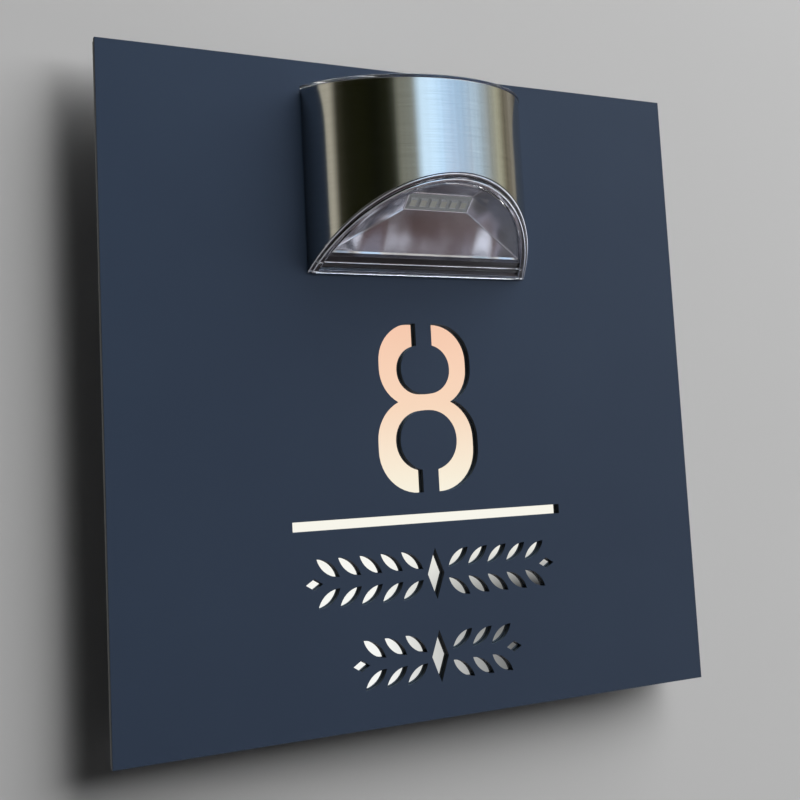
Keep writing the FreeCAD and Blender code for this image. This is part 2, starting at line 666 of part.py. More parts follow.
BOARD_POST_RISE = "(dims.board_rise + dims.board_height / 2)"


def slab(name, width, near, far, low, high, x="0"):
    """Block between two depths whose underside and top follow the floor or roof plane."""
    sketch = put(doc.addObject("Sketcher::SketchObject", f"{name}_side"), x=x, turn=SIDE_VIEW)
    low_line, low_offset = low
    high_line, high_offset = high
    draw(sketch, (
        (on_lamp(near), low_line(near, low_offset)),
        (on_lamp(near), high_line(near, high_offset)),
        (on_lamp(far), high_line(far, high_offset)),
        (on_lamp(far), low_line(far, low_offset)),
    ))
    return extrude(name, sketch, Vector(1, 0, 0), f"({width}) / 2", f"({width}) / 2")


def block(name, inset, near, far, low, high):
    """Slab trimmed to the shell's round front, drawn in by inset."""
    trim = rod(f"{name}_round", f"{LAMP_RADIUS} - ({inset})", "3 * dims.lamp_height", y=LAMP_AXIS,
               z="dims.lamp_rise - dims.lamp_height", turn=UP)
    body = slab(f"{name}_slab", "2 * dims.lamp_width", near, far, low, high)
    return common(name, body, trim)


# ---------------------------------------------------------------- lamp: shell, housing and cover


def steel_shell():
    """Round stainless shell, open above and below."""
    outer = block("shell_outer", "0", "0", BEYOND, (floor_at, "0"), (roof_at, "0"))
    inside = block("shell_inside", "dims.shell_thick", "-dims.overcut", BEYOND,
                   (floor_at, "-dims.lamp_height"), (roof_at, "dims.lamp_height"))
    return keep(cut("steel_shell", outer, inside))


def cover_screw_places():
    """The four (x, z) places of the screws that hold the back cover."""
    return [(f"({side} * (dims.lamp_width / 2 - dims.cover_screw_inset))", above(f"dims.cover_screw_{level}"))
            for side in (-1, 1) for level in ("low", "high")]


def inner_housing():
    """Black moulding: round wall, deck for the solar cell, sill and four screw bosses."""
    span = (HOUSING_BACK, BEYOND)
    floor, roof = (floor_at, HOUSING_FLOOR), (roof_at, "0")
    outer = block("housing_outer", IN_SHELL, *span, floor, roof)
    cavity = block("housing_cavity", IN_HOUSING, "0", BEYOND,
                   (floor_at, "-dims.lamp_height"), (roof_at, f"0 - {DECK_UNDER}"))
    recess = block("housing_recess", IN_HOUSING, f"({HOUSING_BACK} + dims.housing_wall)", BEYOND,
                   (roof_at, f"0 - {DECK_TOP}"), (roof_at, "dims.overcut"))
    walls = cut("housing_walls", outer, cavity, recess)
    sill = slab("housing_sill", "2 * dims.lamp_width", HOUSING_BACK, SILL_FRONT,
                floor, (floor_at, f"({HOUSING_FLOOR} + dims.sill_height)"))
    bosses = [rod(f"boss_{index}", "dims.boss_radius", "dims.boss_length", x, on_lamp(HOUSING_BACK), z)
              for index, (x, z) in enumerate(cover_screw_places())]
    limits = block("housing_limits", IN_SHELL, *span, floor, roof)
    inner = common("housing_inner", join("housing_details", sill, *bosses), limits)
    pilots = [rod(f"pilot_{index}", "dims.cover_screw_radius + dims.thread_clearance",
                  "dims.cover_screw_length + dims.overcut", x, on_lamp("dims.overcut"), z)
              for index, (x, z) in enumerate(cover_screw_places())]
    lead_hole = rod("deck_hole", "dims.deck_hole_radius", "dims.lamp_height",
                    f"0 - {DECK_HOLE}", on_lamp(BOARD_MIDDLE), above("dims.lamp_height / 2"), UP)
    return keep(cut("inner_housing", join("housing_solid", walls, inner), *pilots, lead_hole))


KEY_WIDTH = "(dims.hang_radius + dims.hang_slot_clearance)"
KEY_MOUTH = "(dims.hang_head_radius + dims.hang_head_clearance)"
KEY_POCKET = "(2 * dims.slide_gap + dims.hang_head_thick)"
THROUGH_COVER = "(dims.cover_thick + 2 * dims.overcut)"


def keyhole(index, x):
    """Slot, round mouth and room for the screw's head behind them."""
    rest = HANG_HEIGHT
    freed = f"({HANG_HEIGHT} - dims.hang_travel)"
    through = THROUGH_COVER
    start = on_lamp("-dims.overcut")
    room_start = on_lamp("dims.cover_thick")
    return [
        rod(f"key_top_{index}", KEY_WIDTH, through, x, start, rest),
        box(f"key_slot_{index}", f"2 * {KEY_WIDTH}", through, "dims.hang_travel", x, start, freed),
        rod(f"key_mouth_{index}", KEY_MOUTH, through, x, start, freed),
        rod(f"room_top_{index}", KEY_MOUTH, KEY_POCKET, x, room_start, rest),
        box(f"room_middle_{index}", f"2 * {KEY_MOUTH}", KEY_POCKET, "dims.hang_travel", x, room_start, freed),
        rod(f"room_low_{index}", KEY_MOUTH, KEY_POCKET, x, room_start, freed),
    ]


def back_cover():
    """Flat cover with keyholes, their closed pockets, the button's hole and four posts."""
    plate = block("cover_plate", IN_SHELL, "0", "dims.cover_thick",
                  (floor_at, "0"), (roof_at, "0"))
    wall = "dims.holder_wall"
    pocket_width = f"(2 * ({KEY_MOUTH} + {wall}))"
    pockets = [box(f"pocket_{index}", pocket_width, f"({KEY_POCKET} + {wall} + dims.overcut)",
                   f"({pocket_width} + dims.hang_travel)", x, on_lamp("dims.cover_thick - dims.overcut"),
                   f"({HANG_HEIGHT} - dims.hang_travel - {pocket_width} / 2)")
               for index, x in enumerate(HANG_PLACES)]
    posts, bores = [], []
    for name, span, rise, reach in (
            ("board", "dims.post_span", BOARD_POST_RISE, "dims.board_setback"),
            ("holder", "dims.holder_post_span", "dims.battery_rise", "dims.holder_setback")):
        for side in (-1, 1):
            x = f"({side} * {span} / 2)"
            posts.append(rod(f"{name}_post_{side + 1}", "dims.post_radius", f"({reach} - dims.overcut)", x,
                             on_lamp("dims.overcut"), above(rise)))
            bores.append(rod(f"{name}_bore_{side + 1}", "dims.small_screw_radius + dims.thread_clearance",
                             "dims.small_screw_length + dims.overcut", x,
                             on_lamp(f"{reach} - dims.small_screw_length"), above(rise)))
    solid = join("cover_solid", plate, *pockets, *posts)
    cutters = list(bores)
    outside = on_lamp("-dims.overcut")
    for index, x in enumerate(HANG_PLACES):
        cutters += keyhole(index, x)
    for index, (x, z) in enumerate(cover_screw_places()):
        cutters.append(rod(f"cover_hole_{index}", "dims.cover_screw_radius + dims.mould_gap",
                           THROUGH_COVER, x, outside, z))
        cutters.append(rod(f"cover_sink_{index}", "dims.cover_head_radius + dims.mould_gap",
                           "dims.cover_head_thick + dims.cover_head_sink + dims.overcut", x, outside, z))
    cutters.append(rod("button_hole", "dims.button_radius + dims.fit_clearance", THROUGH_COVER,
                       "0", outside, above("dims.button_rise")))
    return keep(cut("back_cover", solid, *cutters))


def cover_seal():
    """Gasket on the back rim of the housing."""
    span = ("dims.cover_thick", HOUSING_BACK)
    outer = block("seal_outer", IN_SHELL, *span, (floor_at, HOUSING_FLOOR), (roof_at, "0"))
    inner = block("seal_inner", IN_HOUSING, "0", BEYOND,
                  (floor_at, f"({HOUSING_FLOOR} + dims.sill_height)"), (roof_at, f"0 - {DECK_UNDER}"))
    return keep(cut("cover_seal", outer, inner))


def cover_screws():
    """Four screws from the back into the housing's bosses, heads just under the surface."""
    length, head = "dims.cover_screw_length", "dims.cover_head_thick"
    screw = turned("cover_screw", (
        ("0", "0"), ("dims.cover_head_radius", "0"), ("dims.cover_head_radius", head),
        ("dims.cover_screw_radius", head),
        ("dims.cover_screw_radius", f"{head} + {length} - dims.cover_screw_radius"),
        ("0", f"{head} + {length}"),
    ))
    start = on_lamp("dims.cover_head_sink")
    return keep(copies("cover_screws", screw, [(x, start, z) for x, z in cover_screw_places()], FORWARD))


# ---------------------------------------------------------------- lamp: roof


def solar_roof():
    """Roof window on top of the shell, the cell under it and two foam strips on the deck."""
    keep(block("top_window", "-dims.edge_proud", "0", BEYOND, (roof_at, "0"), (roof_at, "dims.window_thick")))
    cell_edge = f"({IN_HOUSING} + dims.cell_inset)"
    cell_back = f"({HOUSING_BACK} + dims.housing_wall + dims.cell_inset)"
    keep(block("solar_cell", cell_edge, cell_back, BEYOND, (roof_at, f"0 - {UNDER_CELL}"), (roof_at, "0")))
    strips = []
    for name, start in (("back", f"({cell_back} + dims.cell_pad_thick)"), ("front", "dims.cell_pad_front")):
        strips.append(slab(f"pad_{name}", "dims.cell_pad_length", start, f"({start} + dims.cell_pad_width)",
                           (roof_at, f"0 - {DECK_TOP}"), (roof_at, f"0 - {UNDER_CELL}")))
    keep(group("cell_pads", strips))


# ---------------------------------------------------------------- lamp: window and light


def lens():
    """Clear half-moon window: a pane inside the shell over two stepped flanges that close its edge."""
    spigot = block("lens_spigot", f"({IN_SHELL} + dims.mould_gap)", "(dims.cover_thick + dims.mould_gap)",
                   BEYOND, (floor_at, "0"), (floor_at, LENS_TOP))
    flange = block("lens_flange", "-dims.edge_proud", "0", BEYOND,
                   (floor_at, "-dims.lens_flange"), (floor_at, "0"))
    step = block("lens_step", "dims.lens_step_inset", "dims.lens_step_inset", BEYOND,
                 (floor_at, "-dims.lens_flange - dims.lens_step"), (floor_at, "-dims.lens_flange"))
    rim = "(dims.lens_step_inset + dims.lens_rim)"
    back_rim = "(dims.lens_step_inset + dims.lens_back_rim)"
    dish = block("lens_dish", rim, back_rim, BEYOND,
                 (floor_at, "-dims.lamp_height"), (floor_at, "-dims.lens_web"))
    return keep(cut("lens", join("lens_solid", spigot, flange, step), dish))


def lens_seal():
    """Gasket between the lens and the lower edge of the housing."""
    heights = ((floor_at, LENS_TOP), (floor_at, HOUSING_FLOOR))
    outer = block("lens_seal_outer", f"({IN_SHELL} + dims.mould_gap)", HOUSING_BACK, BEYOND, *heights)
    inner = block("lens_seal_inner", IN_HOUSING, SILL_FRONT, BEYOND,
                  (floor_at, "0"), (floor_at, f"(2 * {HOUSING_FLOOR})"))
    return keep(cut("lens_seal", outer, inner))


FLANGE_EDGE = f"({IN_HOUSING} + dims.mould_gap)"
FLANGE_BACK = f"({SILL_FRONT} + dims.mould_gap)"
FLANGE_TOP = f"({LENS_TOP} + dims.reflector_thick)"
LED_PLANE = f"({LENS_TOP} + dims.reflector_height)"


def tray_ring(inset, near, offset):
    """Closed wire on the window plane: a round front in three arcs and a straight back."""
    radius = value(f"{LAMP_RADIUS} - ({inset})")
    axis, back, depth_now = value(LAMP_AXIS), value(LAMP_BACK), value(near)
    y_back = back - depth_now
    back_angle = math.acos((axis - y_back) / radius)
    front_angle = math.asin(value("dims.led_slot_width / 2") / radius)

    def at(angle):
        y = axis - radius * math.cos(angle)
        return Vector(radius * math.sin(angle), y, value(floor_at(f"{back - y}", offset)))

    angles = (-back_angle, -front_angle, front_angle, back_angle)
    corners = [at(angle) for angle in angles]
    middles = [at((first + second) / 2) for first, second in zip(angles, angles[1:])]
    edges = [Part.Arc(corners[i], middles[i], corners[i + 1]).toShape() for i in range(3)]
    edges.append(Part.LineSegment(corners[3], corners[0]).toShape())
    return Part.Wire(edges)


def slot_ring(margin, offset):
    """Rectangle round the LED slot on a plane parallel to the window."""
    half = value("dims.led_slot_width / 2") + margin
    near = value("dims.led_slot_setback") - margin
    far = value("dims.led_slot_setback + dims.led_slot_depth") + margin
    back = value(LAMP_BACK)
    corners = [Vector(side * half, back - depth, value(floor_at(f"{depth}", offset)))
               for side, depth in ((-1, near), (-1, far), (1, far), (1, near))]
    return Part.makePolygon(corners + corners[:1])


def reflector():
    """Folded tray: a flange on the lens and four facets that climb to the LED slot."""
    flange_inner = f"({FLANGE_EDGE} + dims.reflector_flange)"
    inner_back = f"({FLANGE_BACK} + dims.reflector_flange)"
    outer = block("flange_outer", FLANGE_EDGE, FLANGE_BACK, BEYOND,
                  (floor_at, LENS_TOP), (floor_at, FLANGE_TOP))
    inner = block("flange_inner", flange_inner, inner_back, BEYOND,
                  (floor_at, "0"), (floor_at, f"(2 * {FLANGE_TOP})"))
    flange = cut("reflector_rim", outer, inner)
    foot = f"({LENS_TOP} + dims.reflector_thick / 2)"
    lofts = []
    for grow in ("(dims.reflector_ledge + dims.reflector_thick)", "dims.reflector_ledge"):
        margin = value(f"{grow} - dims.reflector_ledge")
        lofts.append(Part.makeLoft([
            tray_ring(f"({flange_inner} - {grow})", f"({inner_back} - {grow})", foot),
            slot_ring(margin, LED_PLANE)], True, True))
    facets = doc.addObject("Part::Feature", "reflector_facets")
    facets.Shape = lofts[0].cut(lofts[1])
    facets.Placement = FreeCAD.Placement()
    return keep(join("reflector", flange, facets))


def light_strip():
    """LED board on top of the reflector with a row of LEDs that look down through its slot."""
    margin = "dims.led_board_margin"
    near = f"(dims.led_slot_setback - {margin})"
    far = f"(dims.led_slot_setback + dims.led_slot_depth + {margin})"
    keep(slab("led_board", f"(dims.led_slot_width + 2 * {margin})", near, far,
              (floor_at, LED_PLANE), (floor_at, f"({LED_PLANE} + dims.led_board_thick)")))
    start = "(dims.led_slot_setback + (dims.led_slot_depth - dims.led_width) / 2)"
    lights = []
    for index in range(count("led_count")):
        across = f"(({index} - (dims.led_count - 1) / 2) * dims.led_pitch)"
        lights.append(slab(f"led_{index}", "dims.led_length", start, f"({start} + dims.led_width)",
                           (floor_at, f"({LED_PLANE} - dims.led_thick)"), (floor_at, LED_PLANE), across))
    keep(group("leds", lights))


# ---------------------------------------------------------------- lamp: control board and switch


def small_screws(name, span, rise, seat, grip):
    """Pair of small screws whose heads sit on a seat and whose points reach back into the posts."""
    reach = f"({grip} + dims.small_screw_length - dims.small_screw_radius)"
    head = "dims.small_head_thick"
    screw = turned(f"{name}_one", (
        ("0", f"0 - {reach}"), ("dims.small_screw_radius", f"0 - {reach} + dims.small_screw_radius"),
        ("dims.small_screw_radius", "0"), ("dims.small_head_radius", "0"),
        ("dims.small_head_radius", head), ("0", head),
    ))
    places = [(f"{side} * {span} / 2", on_lamp(seat), above(rise)) for side in (-1, 1)]
    return copies(name, screw, places, FORWARD)


def control_board():
    """Board on two posts, with its coil, chip and capacitor as one group, and two screws."""
    blank = box("board_blank", "dims.board_width", "dims.board_thick", "dims.board_height",
                y=on_lamp("dims.board_setback"), z=above("dims.board_rise"))
    holes = [rod(f"board_hole_{side + 1}", "dims.small_screw_radius + dims.mould_gap",
                 "dims.board_thick + 2 * dims.overcut", f"({side} * dims.post_span / 2)",
                 on_lamp("dims.board_setback - dims.overcut"), above(BOARD_POST_RISE)) for side in (-1, 1)]
    keep(cut("control_board", blank, *holes))
    front = on_lamp(BOARD_FRONT)
    high = above("(dims.board_rise + dims.part_rise)")
    coil = rod("coil", "dims.coil_radius", "dims.coil_thick", "dims.coil_offset", front, high)
    chip = box("chip", "dims.chip_width", "dims.chip_thick", "dims.chip_height", y=front,
               z=above("(dims.board_rise + dims.chip_rise)"))
    capacitor = rod("capacitor", "dims.capacitor_radius", "dims.capacitor_length",
                    "0 - dims.coil_offset", front, high)
    keep(group("board_components", [coil, chip, capacitor]))
    keep(small_screws("board_screws", "dims.post_span", BOARD_POST_RISE, BOARD_FRONT, "dims.board_thick"))


def push_switch():
    """Switch body on the back of the board and the button that slides in it."""
    start = "(dims.board_setback - dims.switch_depth)"
    blank = box("switch_blank", "dims.switch_size", "dims.switch_depth", "dims.switch_size",
                y=on_lamp(start), z=above("(dims.button_rise - dims.switch_size / 2)"))
    well = "(dims.stem_seat + dims.button_travel + dims.mould_gap)"
    bore = rod("switch_bore", "dims.stem_radius + dims.fit_clearance", f"({well} + dims.overcut)", "0",
               on_lamp(f"{start} - dims.overcut"), above("dims.button_rise"))
    keep(cut("switch_body", blank, bore))
    stem_length = f"({start} - dims.button_setback + dims.stem_seat)"
    button = turned("switch_button", (
        ("0", "0"), ("dims.button_radius", "0"), ("dims.button_radius", "dims.button_length"),
        ("dims.stem_radius", "dims.button_length"), ("dims.stem_radius", stem_length), ("0", stem_length),
    ))
    keep(put(button, "0", on_lamp("dims.button_setback"), above("dims.button_rise"), FORWARD))


# ---------------------------------------------------------------- lamp: battery

CELL_START = "(0 - dims.battery_length / 2)"
HOLDER_INNER = "(dims.battery_length + dims.battery_cap_length + dims.contact_room + dims.contact_thick)"
HOLDER_LEFT = f"({CELL_START} - dims.contact_room)"
HOLDER_MIDDLE = f"({HOLDER_LEFT} + {HOLDER_INNER} / 2)"
HOLDER_FLOOR = "(dims.holder_setback + dims.holder_floor)"
CELL_DEPTH = f"({HOLDER_FLOOR} + dims.holder_clearance + dims.battery_radius)"
HOLDER_HEIGHT = "(2 * (dims.battery_radius + dims.holder_clearance))"


def battery():
    """AA cell lying across the lamp, its cap to the right."""
    cell = turned("battery", (
        ("0", "0"), ("dims.battery_radius", "0"), ("dims.battery_radius", "dims.battery_length"),
        ("dims.battery_cap_radius", "dims.battery_length"),
        ("dims.battery_cap_radius", "dims.battery_length + dims.battery_cap_length"),
        ("0", "dims.battery_length + dims.battery_cap_length"),
    ))
    return keep(put(cell, CELL_START, on_lamp(CELL_DEPTH), above("dims.battery_rise"), RIGHTWARD))


def battery_holder():
    """Open tray for the cell, screwed to two posts of the back cover."""
    outer_height = f"({HOLDER_HEIGHT} + 2 * dims.holder_wall)"
    outer = box("holder_outer", f"({HOLDER_INNER} + 2 * dims.holder_wall)",
                "(dims.holder_floor + dims.holder_reach)", outer_height, HOLDER_MIDDLE,
                on_lamp("dims.holder_setback"), above(f"(dims.battery_rise - {outer_height} / 2)"))
    room = box("holder_room", HOLDER_INNER, "(dims.holder_reach + dims.overcut)", HOLDER_HEIGHT,
               HOLDER_MIDDLE, on_lamp(HOLDER_FLOOR), above(f"(dims.battery_rise - {HOLDER_HEIGHT} / 2)"))
    cutters = [room]
    sink = "(dims.small_head_thick + dims.thread_clearance)"
    for side in (-1, 1):
        x = f"({side} * dims.holder_post_span / 2)"
        cutters.append(rod(f"holder_hole_{side + 1}", "dims.small_screw_radius + dims.mould_gap",
                           "dims.holder_floor + 2 * dims.overcut", x,
                           on_lamp("dims.holder_setback - dims.overcut"), above("dims.battery_rise")))
        cutters.append(rod(f"holder_sink_{side + 1}", "dims.small_head_radius + dims.mould_gap",
                           f"({sink} + dims.overcut)", x, on_lamp(f"({HOLDER_FLOOR} - {sink})"),
                           above("dims.battery_rise")))
    keep(cut("battery_holder", outer, *cutters))
    keep(small_screws("holder_screws", "dims.holder_post_span", "dims.battery_rise",
                      f"({HOLDER_FLOOR} - {sink})", f"(dims.holder_floor - {sink})"))


def battery_contacts():
    """Flat plate at the cap and a coil spring at the other end."""
    plate_start = f"({HOLDER_LEFT} + {HOLDER_INNER} - dims.contact_thick / 2)"
    plate_size = "dims.contact_size"
    keep(box("contact_plate", "dims.contact_thick", plate_size, plate_size, plate_start,
             on_lamp(f"({CELL_DEPTH} - {plate_size} / 2)"), above(f"(dims.battery_rise - {plate_size} / 2)")))
    wire, turns = value("dims.spring_wire"), value("dims.spring_turns")
    radius, room = value("dims.spring_radius"), value("dims.contact_room")
    height = room - 2 * wire - 2 * value("dims.spring_gap")
    helix = Part.makeHelix(height / turns, height, radius)
    start = Part.Circle(Vector(radius, 0, 0), Vector(0, 1, 0), wire).toShape()
    coil = Part.Wire(helix.Edges).makePipeShell([Part.Wire(start)], True, True)
    spring = doc.addObject("Part::Feature", "contact_spring")
    spring.Shape = coil
    keep(put(spring, f"({HOLDER_LEFT} + dims.spring_wire + dims.spring_gap)", on_lamp(CELL_DEPTH),
             above("dims.battery_rise"), RIGHTWARD))


# ---------------------------------------------------------------- lamp: leads


def lead(points, bend):
    """Round wire along straight runs joined by tangent arcs."""
    radius = value("dims.lead_radius")
    edges, start = [], points[0]
    for before, corner, after in zip(points, points[1:], points[2:]):
        coming, going = (corner - before).normalize(), (after - corner).normalize()
        turn = coming.getAngle(going)
        reach = bend * math.tan(turn / 2)
        enter, leave = corner - coming * reach, corner + going * reach
        inward = (going - coming).normalize()
        middle = corner + inward * (bend / math.cos(turn / 2) - bend)
        edges.append(Part.LineSegment(start, enter).toShape())
        edges.append(Part.Arc(enter, middle, leave).toShape())
        start = leave
    edges.append(Part.LineSegment(start, points[-1]).toShape())
    path = Part.Wire(edges)
    circle = Part.Circle(points[0], points[1] - points[0], radius).toShape()
    solid = path.makePipeShell([Part.Wire(circle)], True, False)
    print(f"  lead {path.Length:.1f} long, bends {bend}, volume ratio "
          f"{solid.Volume / (math.pi * radius ** 2 * path.Length):.4f}")
    return solid


def lead_pair(name, routes, bend="dims.lead_bend"):
    """Two wires in one node, each along corners given as (x, depth, height) formulas."""
    wires = doc.addObject("Part::Feature", name)
    solids = []
    for route in routes:
        points = [Vector(value(x), value(on_lamp(depth)), value(z)) for x, depth, z in route]
        solids.append(lead(points, value(bend)))
    wires.Shape = Part.makeCompound(solids)
    wires.Placement = FreeCAD.Placement()
    return keep(wires)


def leads():
    """Cell to board, battery holder to board, and board to LED strip."""
    solar, battery_pair, led_pair = [], [], []
    board_top = above("(dims.board_rise + dims.board_height)")
    holder_under = above(f"(dims.battery_rise - {HOLDER_HEIGHT} / 2 - dims.holder_wall)")
    led_depth = "(dims.led_slot_setback + dims.lead_radius)"
    over_strip = f"({LED_PLANE} + dims.led_board_thick + dims.lead_gap)"
    led_top = floor_at(f"({led_depth} + dims.lead_radius)", over_strip)
    under_cell = roof_at(f"({BOARD_MIDDLE} + dims.lead_radius)", f"0 - {UNDER_CELL} - dims.lead_gap")
    for side in (-1, 1):
        shift = f"({side} * dims.lead_spacing / 2)"
        x = f"({shift} - {DECK_HOLE})"
        low = above(f"(dims.board_rise + dims.board_height / 4 + {shift})")
        solar.append((
            (x, BOARD_MIDDLE, under_cell),
            (x, BOARD_MIDDLE, low),
            ("0 - dims.board_width / 2", BOARD_MIDDLE, low),
        ))
        across = f"(dims.board_width / 4 + {shift})"
        battery_pair.append(((across, BOARD_MIDDLE, holder_under), (across, BOARD_MIDDLE, board_top)))
        led_pair.append((
            (f"(2 * {shift})", BOARD_FRONT, above("(dims.board_rise + dims.board_height / 2)")),
            (f"(2 * {shift})", led_depth, above("(dims.board_rise + dims.board_height / 2)")),
            (f"(2 * {shift})", led_depth, led_top),
        ))
    lead_pair("solar_leads", solar)
    lead_pair("battery_leads", battery_pair)
    lead_pair("led_leads", led_pair, "dims.lead_tight_bend")


# ---------------------------------------------------------------- build, check and write

front_panel()
mirror_sheet()
bonding_tape()
wall_fixings()
hanging_hardware()
steel_shell()
inner_housing()
back_cover()
cover_seal()
cover_screws()
solar_roof()
lens()
lens_seal()
reflector()
light_strip()
control_board()
push_switch()
battery()
battery_holder()
battery_contacts()
leads()
doc.recompute()

for item in doc.Objects:
    if "Invalid" in item.State or "Error" in item.State:
        raise RuntimeError(f"{item.Label} failed: {item.State}")
for item in pieces:
    if item.Shape.isNull() or not item.Shape.isValid() or not item.Shape.Solids:
        raise RuntimeError(f"{item.Label} has no valid solid")

os.makedirs("parts", exist_ok=True)
for item in pieces:
    item.Shape.exportStep(os.path.join("parts", f"{item.Label}.step"))
    size = item.Shape.BoundBox
    print(f"{item.Label}: {len(item.Shape.Solids)} solid(s), {item.Shape.Volume:.0f} mm3, "
          f"{size.XLength:.1f} x {size.YLength:.1f} x {size.ZLength:.1f}")
print(len(pieces), "sub-parts written")
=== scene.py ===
# %% [markdown]
# # Illuminated house number sign
# A square plaque with a stencil numeral, a rule and a leaf ornament cut through a dark sheet. A mirror
# sheet behind it shows through the cut-outs, and a half-moon solar lamp hangs above the numeral.
# The construction was made in CAD and stays as it is. This script gives it its looks: rounded edges,
# threads, LEDs, finishes, a wall, soft light and a camera.

# %% Load the frame
import json
import math

import bmesh
import bpy
from mathutils import Matrix, Vector

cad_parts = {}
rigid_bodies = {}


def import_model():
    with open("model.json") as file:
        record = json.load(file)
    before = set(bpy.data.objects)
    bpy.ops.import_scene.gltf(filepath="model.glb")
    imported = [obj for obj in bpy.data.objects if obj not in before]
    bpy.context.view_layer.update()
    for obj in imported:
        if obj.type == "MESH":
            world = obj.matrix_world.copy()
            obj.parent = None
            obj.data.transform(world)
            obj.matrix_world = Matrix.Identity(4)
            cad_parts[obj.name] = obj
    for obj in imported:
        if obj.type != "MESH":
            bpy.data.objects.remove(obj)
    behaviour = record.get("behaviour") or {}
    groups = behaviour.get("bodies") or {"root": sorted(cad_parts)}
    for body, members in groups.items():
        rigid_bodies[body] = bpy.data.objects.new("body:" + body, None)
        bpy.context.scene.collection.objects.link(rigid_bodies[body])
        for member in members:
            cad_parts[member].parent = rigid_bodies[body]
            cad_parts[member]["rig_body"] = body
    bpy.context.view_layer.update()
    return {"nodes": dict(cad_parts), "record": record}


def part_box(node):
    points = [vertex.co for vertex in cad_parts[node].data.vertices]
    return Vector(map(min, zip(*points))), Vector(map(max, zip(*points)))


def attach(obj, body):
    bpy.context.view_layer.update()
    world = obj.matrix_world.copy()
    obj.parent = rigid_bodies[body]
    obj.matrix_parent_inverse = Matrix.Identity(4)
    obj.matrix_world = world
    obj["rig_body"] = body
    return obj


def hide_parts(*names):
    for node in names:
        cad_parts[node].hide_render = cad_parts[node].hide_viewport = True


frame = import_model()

MM = 0.001
nodes = frame["nodes"]

# %% [markdown]
# ## Sizes read from the frame
# Every piece that is made below takes its place from a CAD piece, so that it follows when the CAD
# changes. The box of a piece gives its lowest and highest corner.

# %% Places on the sign
panel_low, panel_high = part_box("front_panel")
shell_low, shell_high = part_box("steel_shell")
panel_middle = (panel_low + panel_high) / 2
lamp_width = shell_high.x - shell_low.x
lamp_depth = shell_high.y - shell_low.y
shell_radius = ((lamp_width / 2) ** 2 + lamp_depth ** 2) / (2 * lamp_depth)
shell_axis_y = shell_low.y + shell_radius
print("shell radius", round(shell_radius / MM, 2), "mm, axis at y", round(shell_axis_y / MM, 2), "mm")

# %% [markdown]
# ## Camera
# The photograph looks up at the sign from the left. Azimuth, climb and roll turn a plain camera
# basis: first the line of sight, then its right-hand side and its top, then the roll about the line
# of sight. The vertical shift keeps the sign where the photograph has it without a steeper view.

# %% Camera at the photograph's angle
CAMERA_PLACE = Vector((-270.3, -514.8, -38.6)) * MM
CAMERA_AZIMUTH = math.radians(27.53)
CAMERA_CLIMB = math.radians(6.18)
CAMERA_ROLL = math.radians(-2.98)
CAMERA_LENS = 54.71
CAMERA_SENSOR = 36
CAMERA_SHIFT = -0.075


def camera_turn(azimuth, climb, roll):
    """Rotation whose columns are the camera's right-hand side, its top and its back."""
    sight = Vector((math.sin(azimuth) * math.cos(climb), math.cos(azimuth) * math.cos(climb),
                    math.sin(climb)))
    side = sight.cross(Vector((0, 0, 1))).normalized()
    top = side.cross(sight)
    rolled_side = side * math.cos(roll) + top * math.sin(roll)
    rolled_top = top * math.cos(roll) - side * math.sin(roll)
    return Matrix((rolled_side, rolled_top, -sight)).transposed().to_4x4()


camera = bpy.data.objects.new("camera", bpy.data.cameras.new("camera"))
camera.data.sensor_width = CAMERA_SENSOR
camera.data.lens = CAMERA_LENS
camera.data.shift_y = CAMERA_SHIFT
camera.data.clip_start = 0.01
camera.matrix_world = Matrix.Translation(CAMERA_PLACE) @ camera_turn(
    CAMERA_AZIMUTH, CAMERA_CLIMB, CAMERA_ROLL)
bpy.context.scene.collection.objects.link(camera)
bpy.context.scene.camera = camera
bpy.context.scene.view_settings.view_transform = "Standard"
print("camera", round((CAMERA_PLACE - panel_middle).length, 3), "m from the plaque")

# %% [markdown]
# ## Node helpers
# A finish is one Principled shader with a few nodes in front of it. Helpers keep that short. The
# first ones add a node, join two sockets, start a finish with its even values set on the shader's own
# sockets, and blend two shaders into one surface.


# %% Helpers for finishes
def add(tree, kind, **settings):
    """New node; a setting names one of its inputs or one of its own properties."""
    made = tree.nodes.new(kind)
    for name, number in settings.items():
        socket = made.inputs.get(name.replace("_", " "))
        if socket is None:
            setattr(made, name, number)
        else:
            socket.default_value = number
    return made


def wire(tree, source, target):
    """Join an output socket to an input socket."""
    tree.links.new(source, target)


def start_finish(name, **settings):
    """Material with a Principled shader; settings name the shader's sockets."""
    material = bpy.data.materials.new(name)
    material.use_nodes = True
    shader = material.node_tree.nodes["Principled BSDF"]
    for socket, number in settings.items():
        shader.inputs[socket.replace("_", " ")].default_value = number
    return material, material.node_tree, shader


def blend_shaders(tree, fac, first, second):
    """Surface that goes from the first shader to the second as fac goes from 0 to 1."""
    blend = add(tree, "ShaderNodeMixShader")
    wire(tree, fac, blend.inputs["Fac"])
    wire(tree, first.outputs["BSDF"], blend.inputs[1])
    wire(tree, second.outputs["BSDF"], blend.inputs[2])
    wire(tree, blend.outputs["Shader"], tree.nodes["Material Output"].inputs["Surface"])


finishes = {}
print("helpers for shaders ready")

# %% [markdown]
# The rest each make one small group of nodes: noise, a colour ramp, a change of range, relief, a sum,
# the three numbers of a vector, or a mix of two colours. Sizes in them are in metres.


# %% Helpers for patterns
def place(tree, stretch=(1, 1, 1)):
    """The piece's own coordinates in metres, stretched along its axes."""
    spot = add(tree, "ShaderNodeTexCoord")
    mapping = add(tree, "ShaderNodeMapping", Scale=stretch)
    wire(tree, spot.outputs["Object"], mapping.inputs["Vector"])
    return mapping.outputs["Vector"]


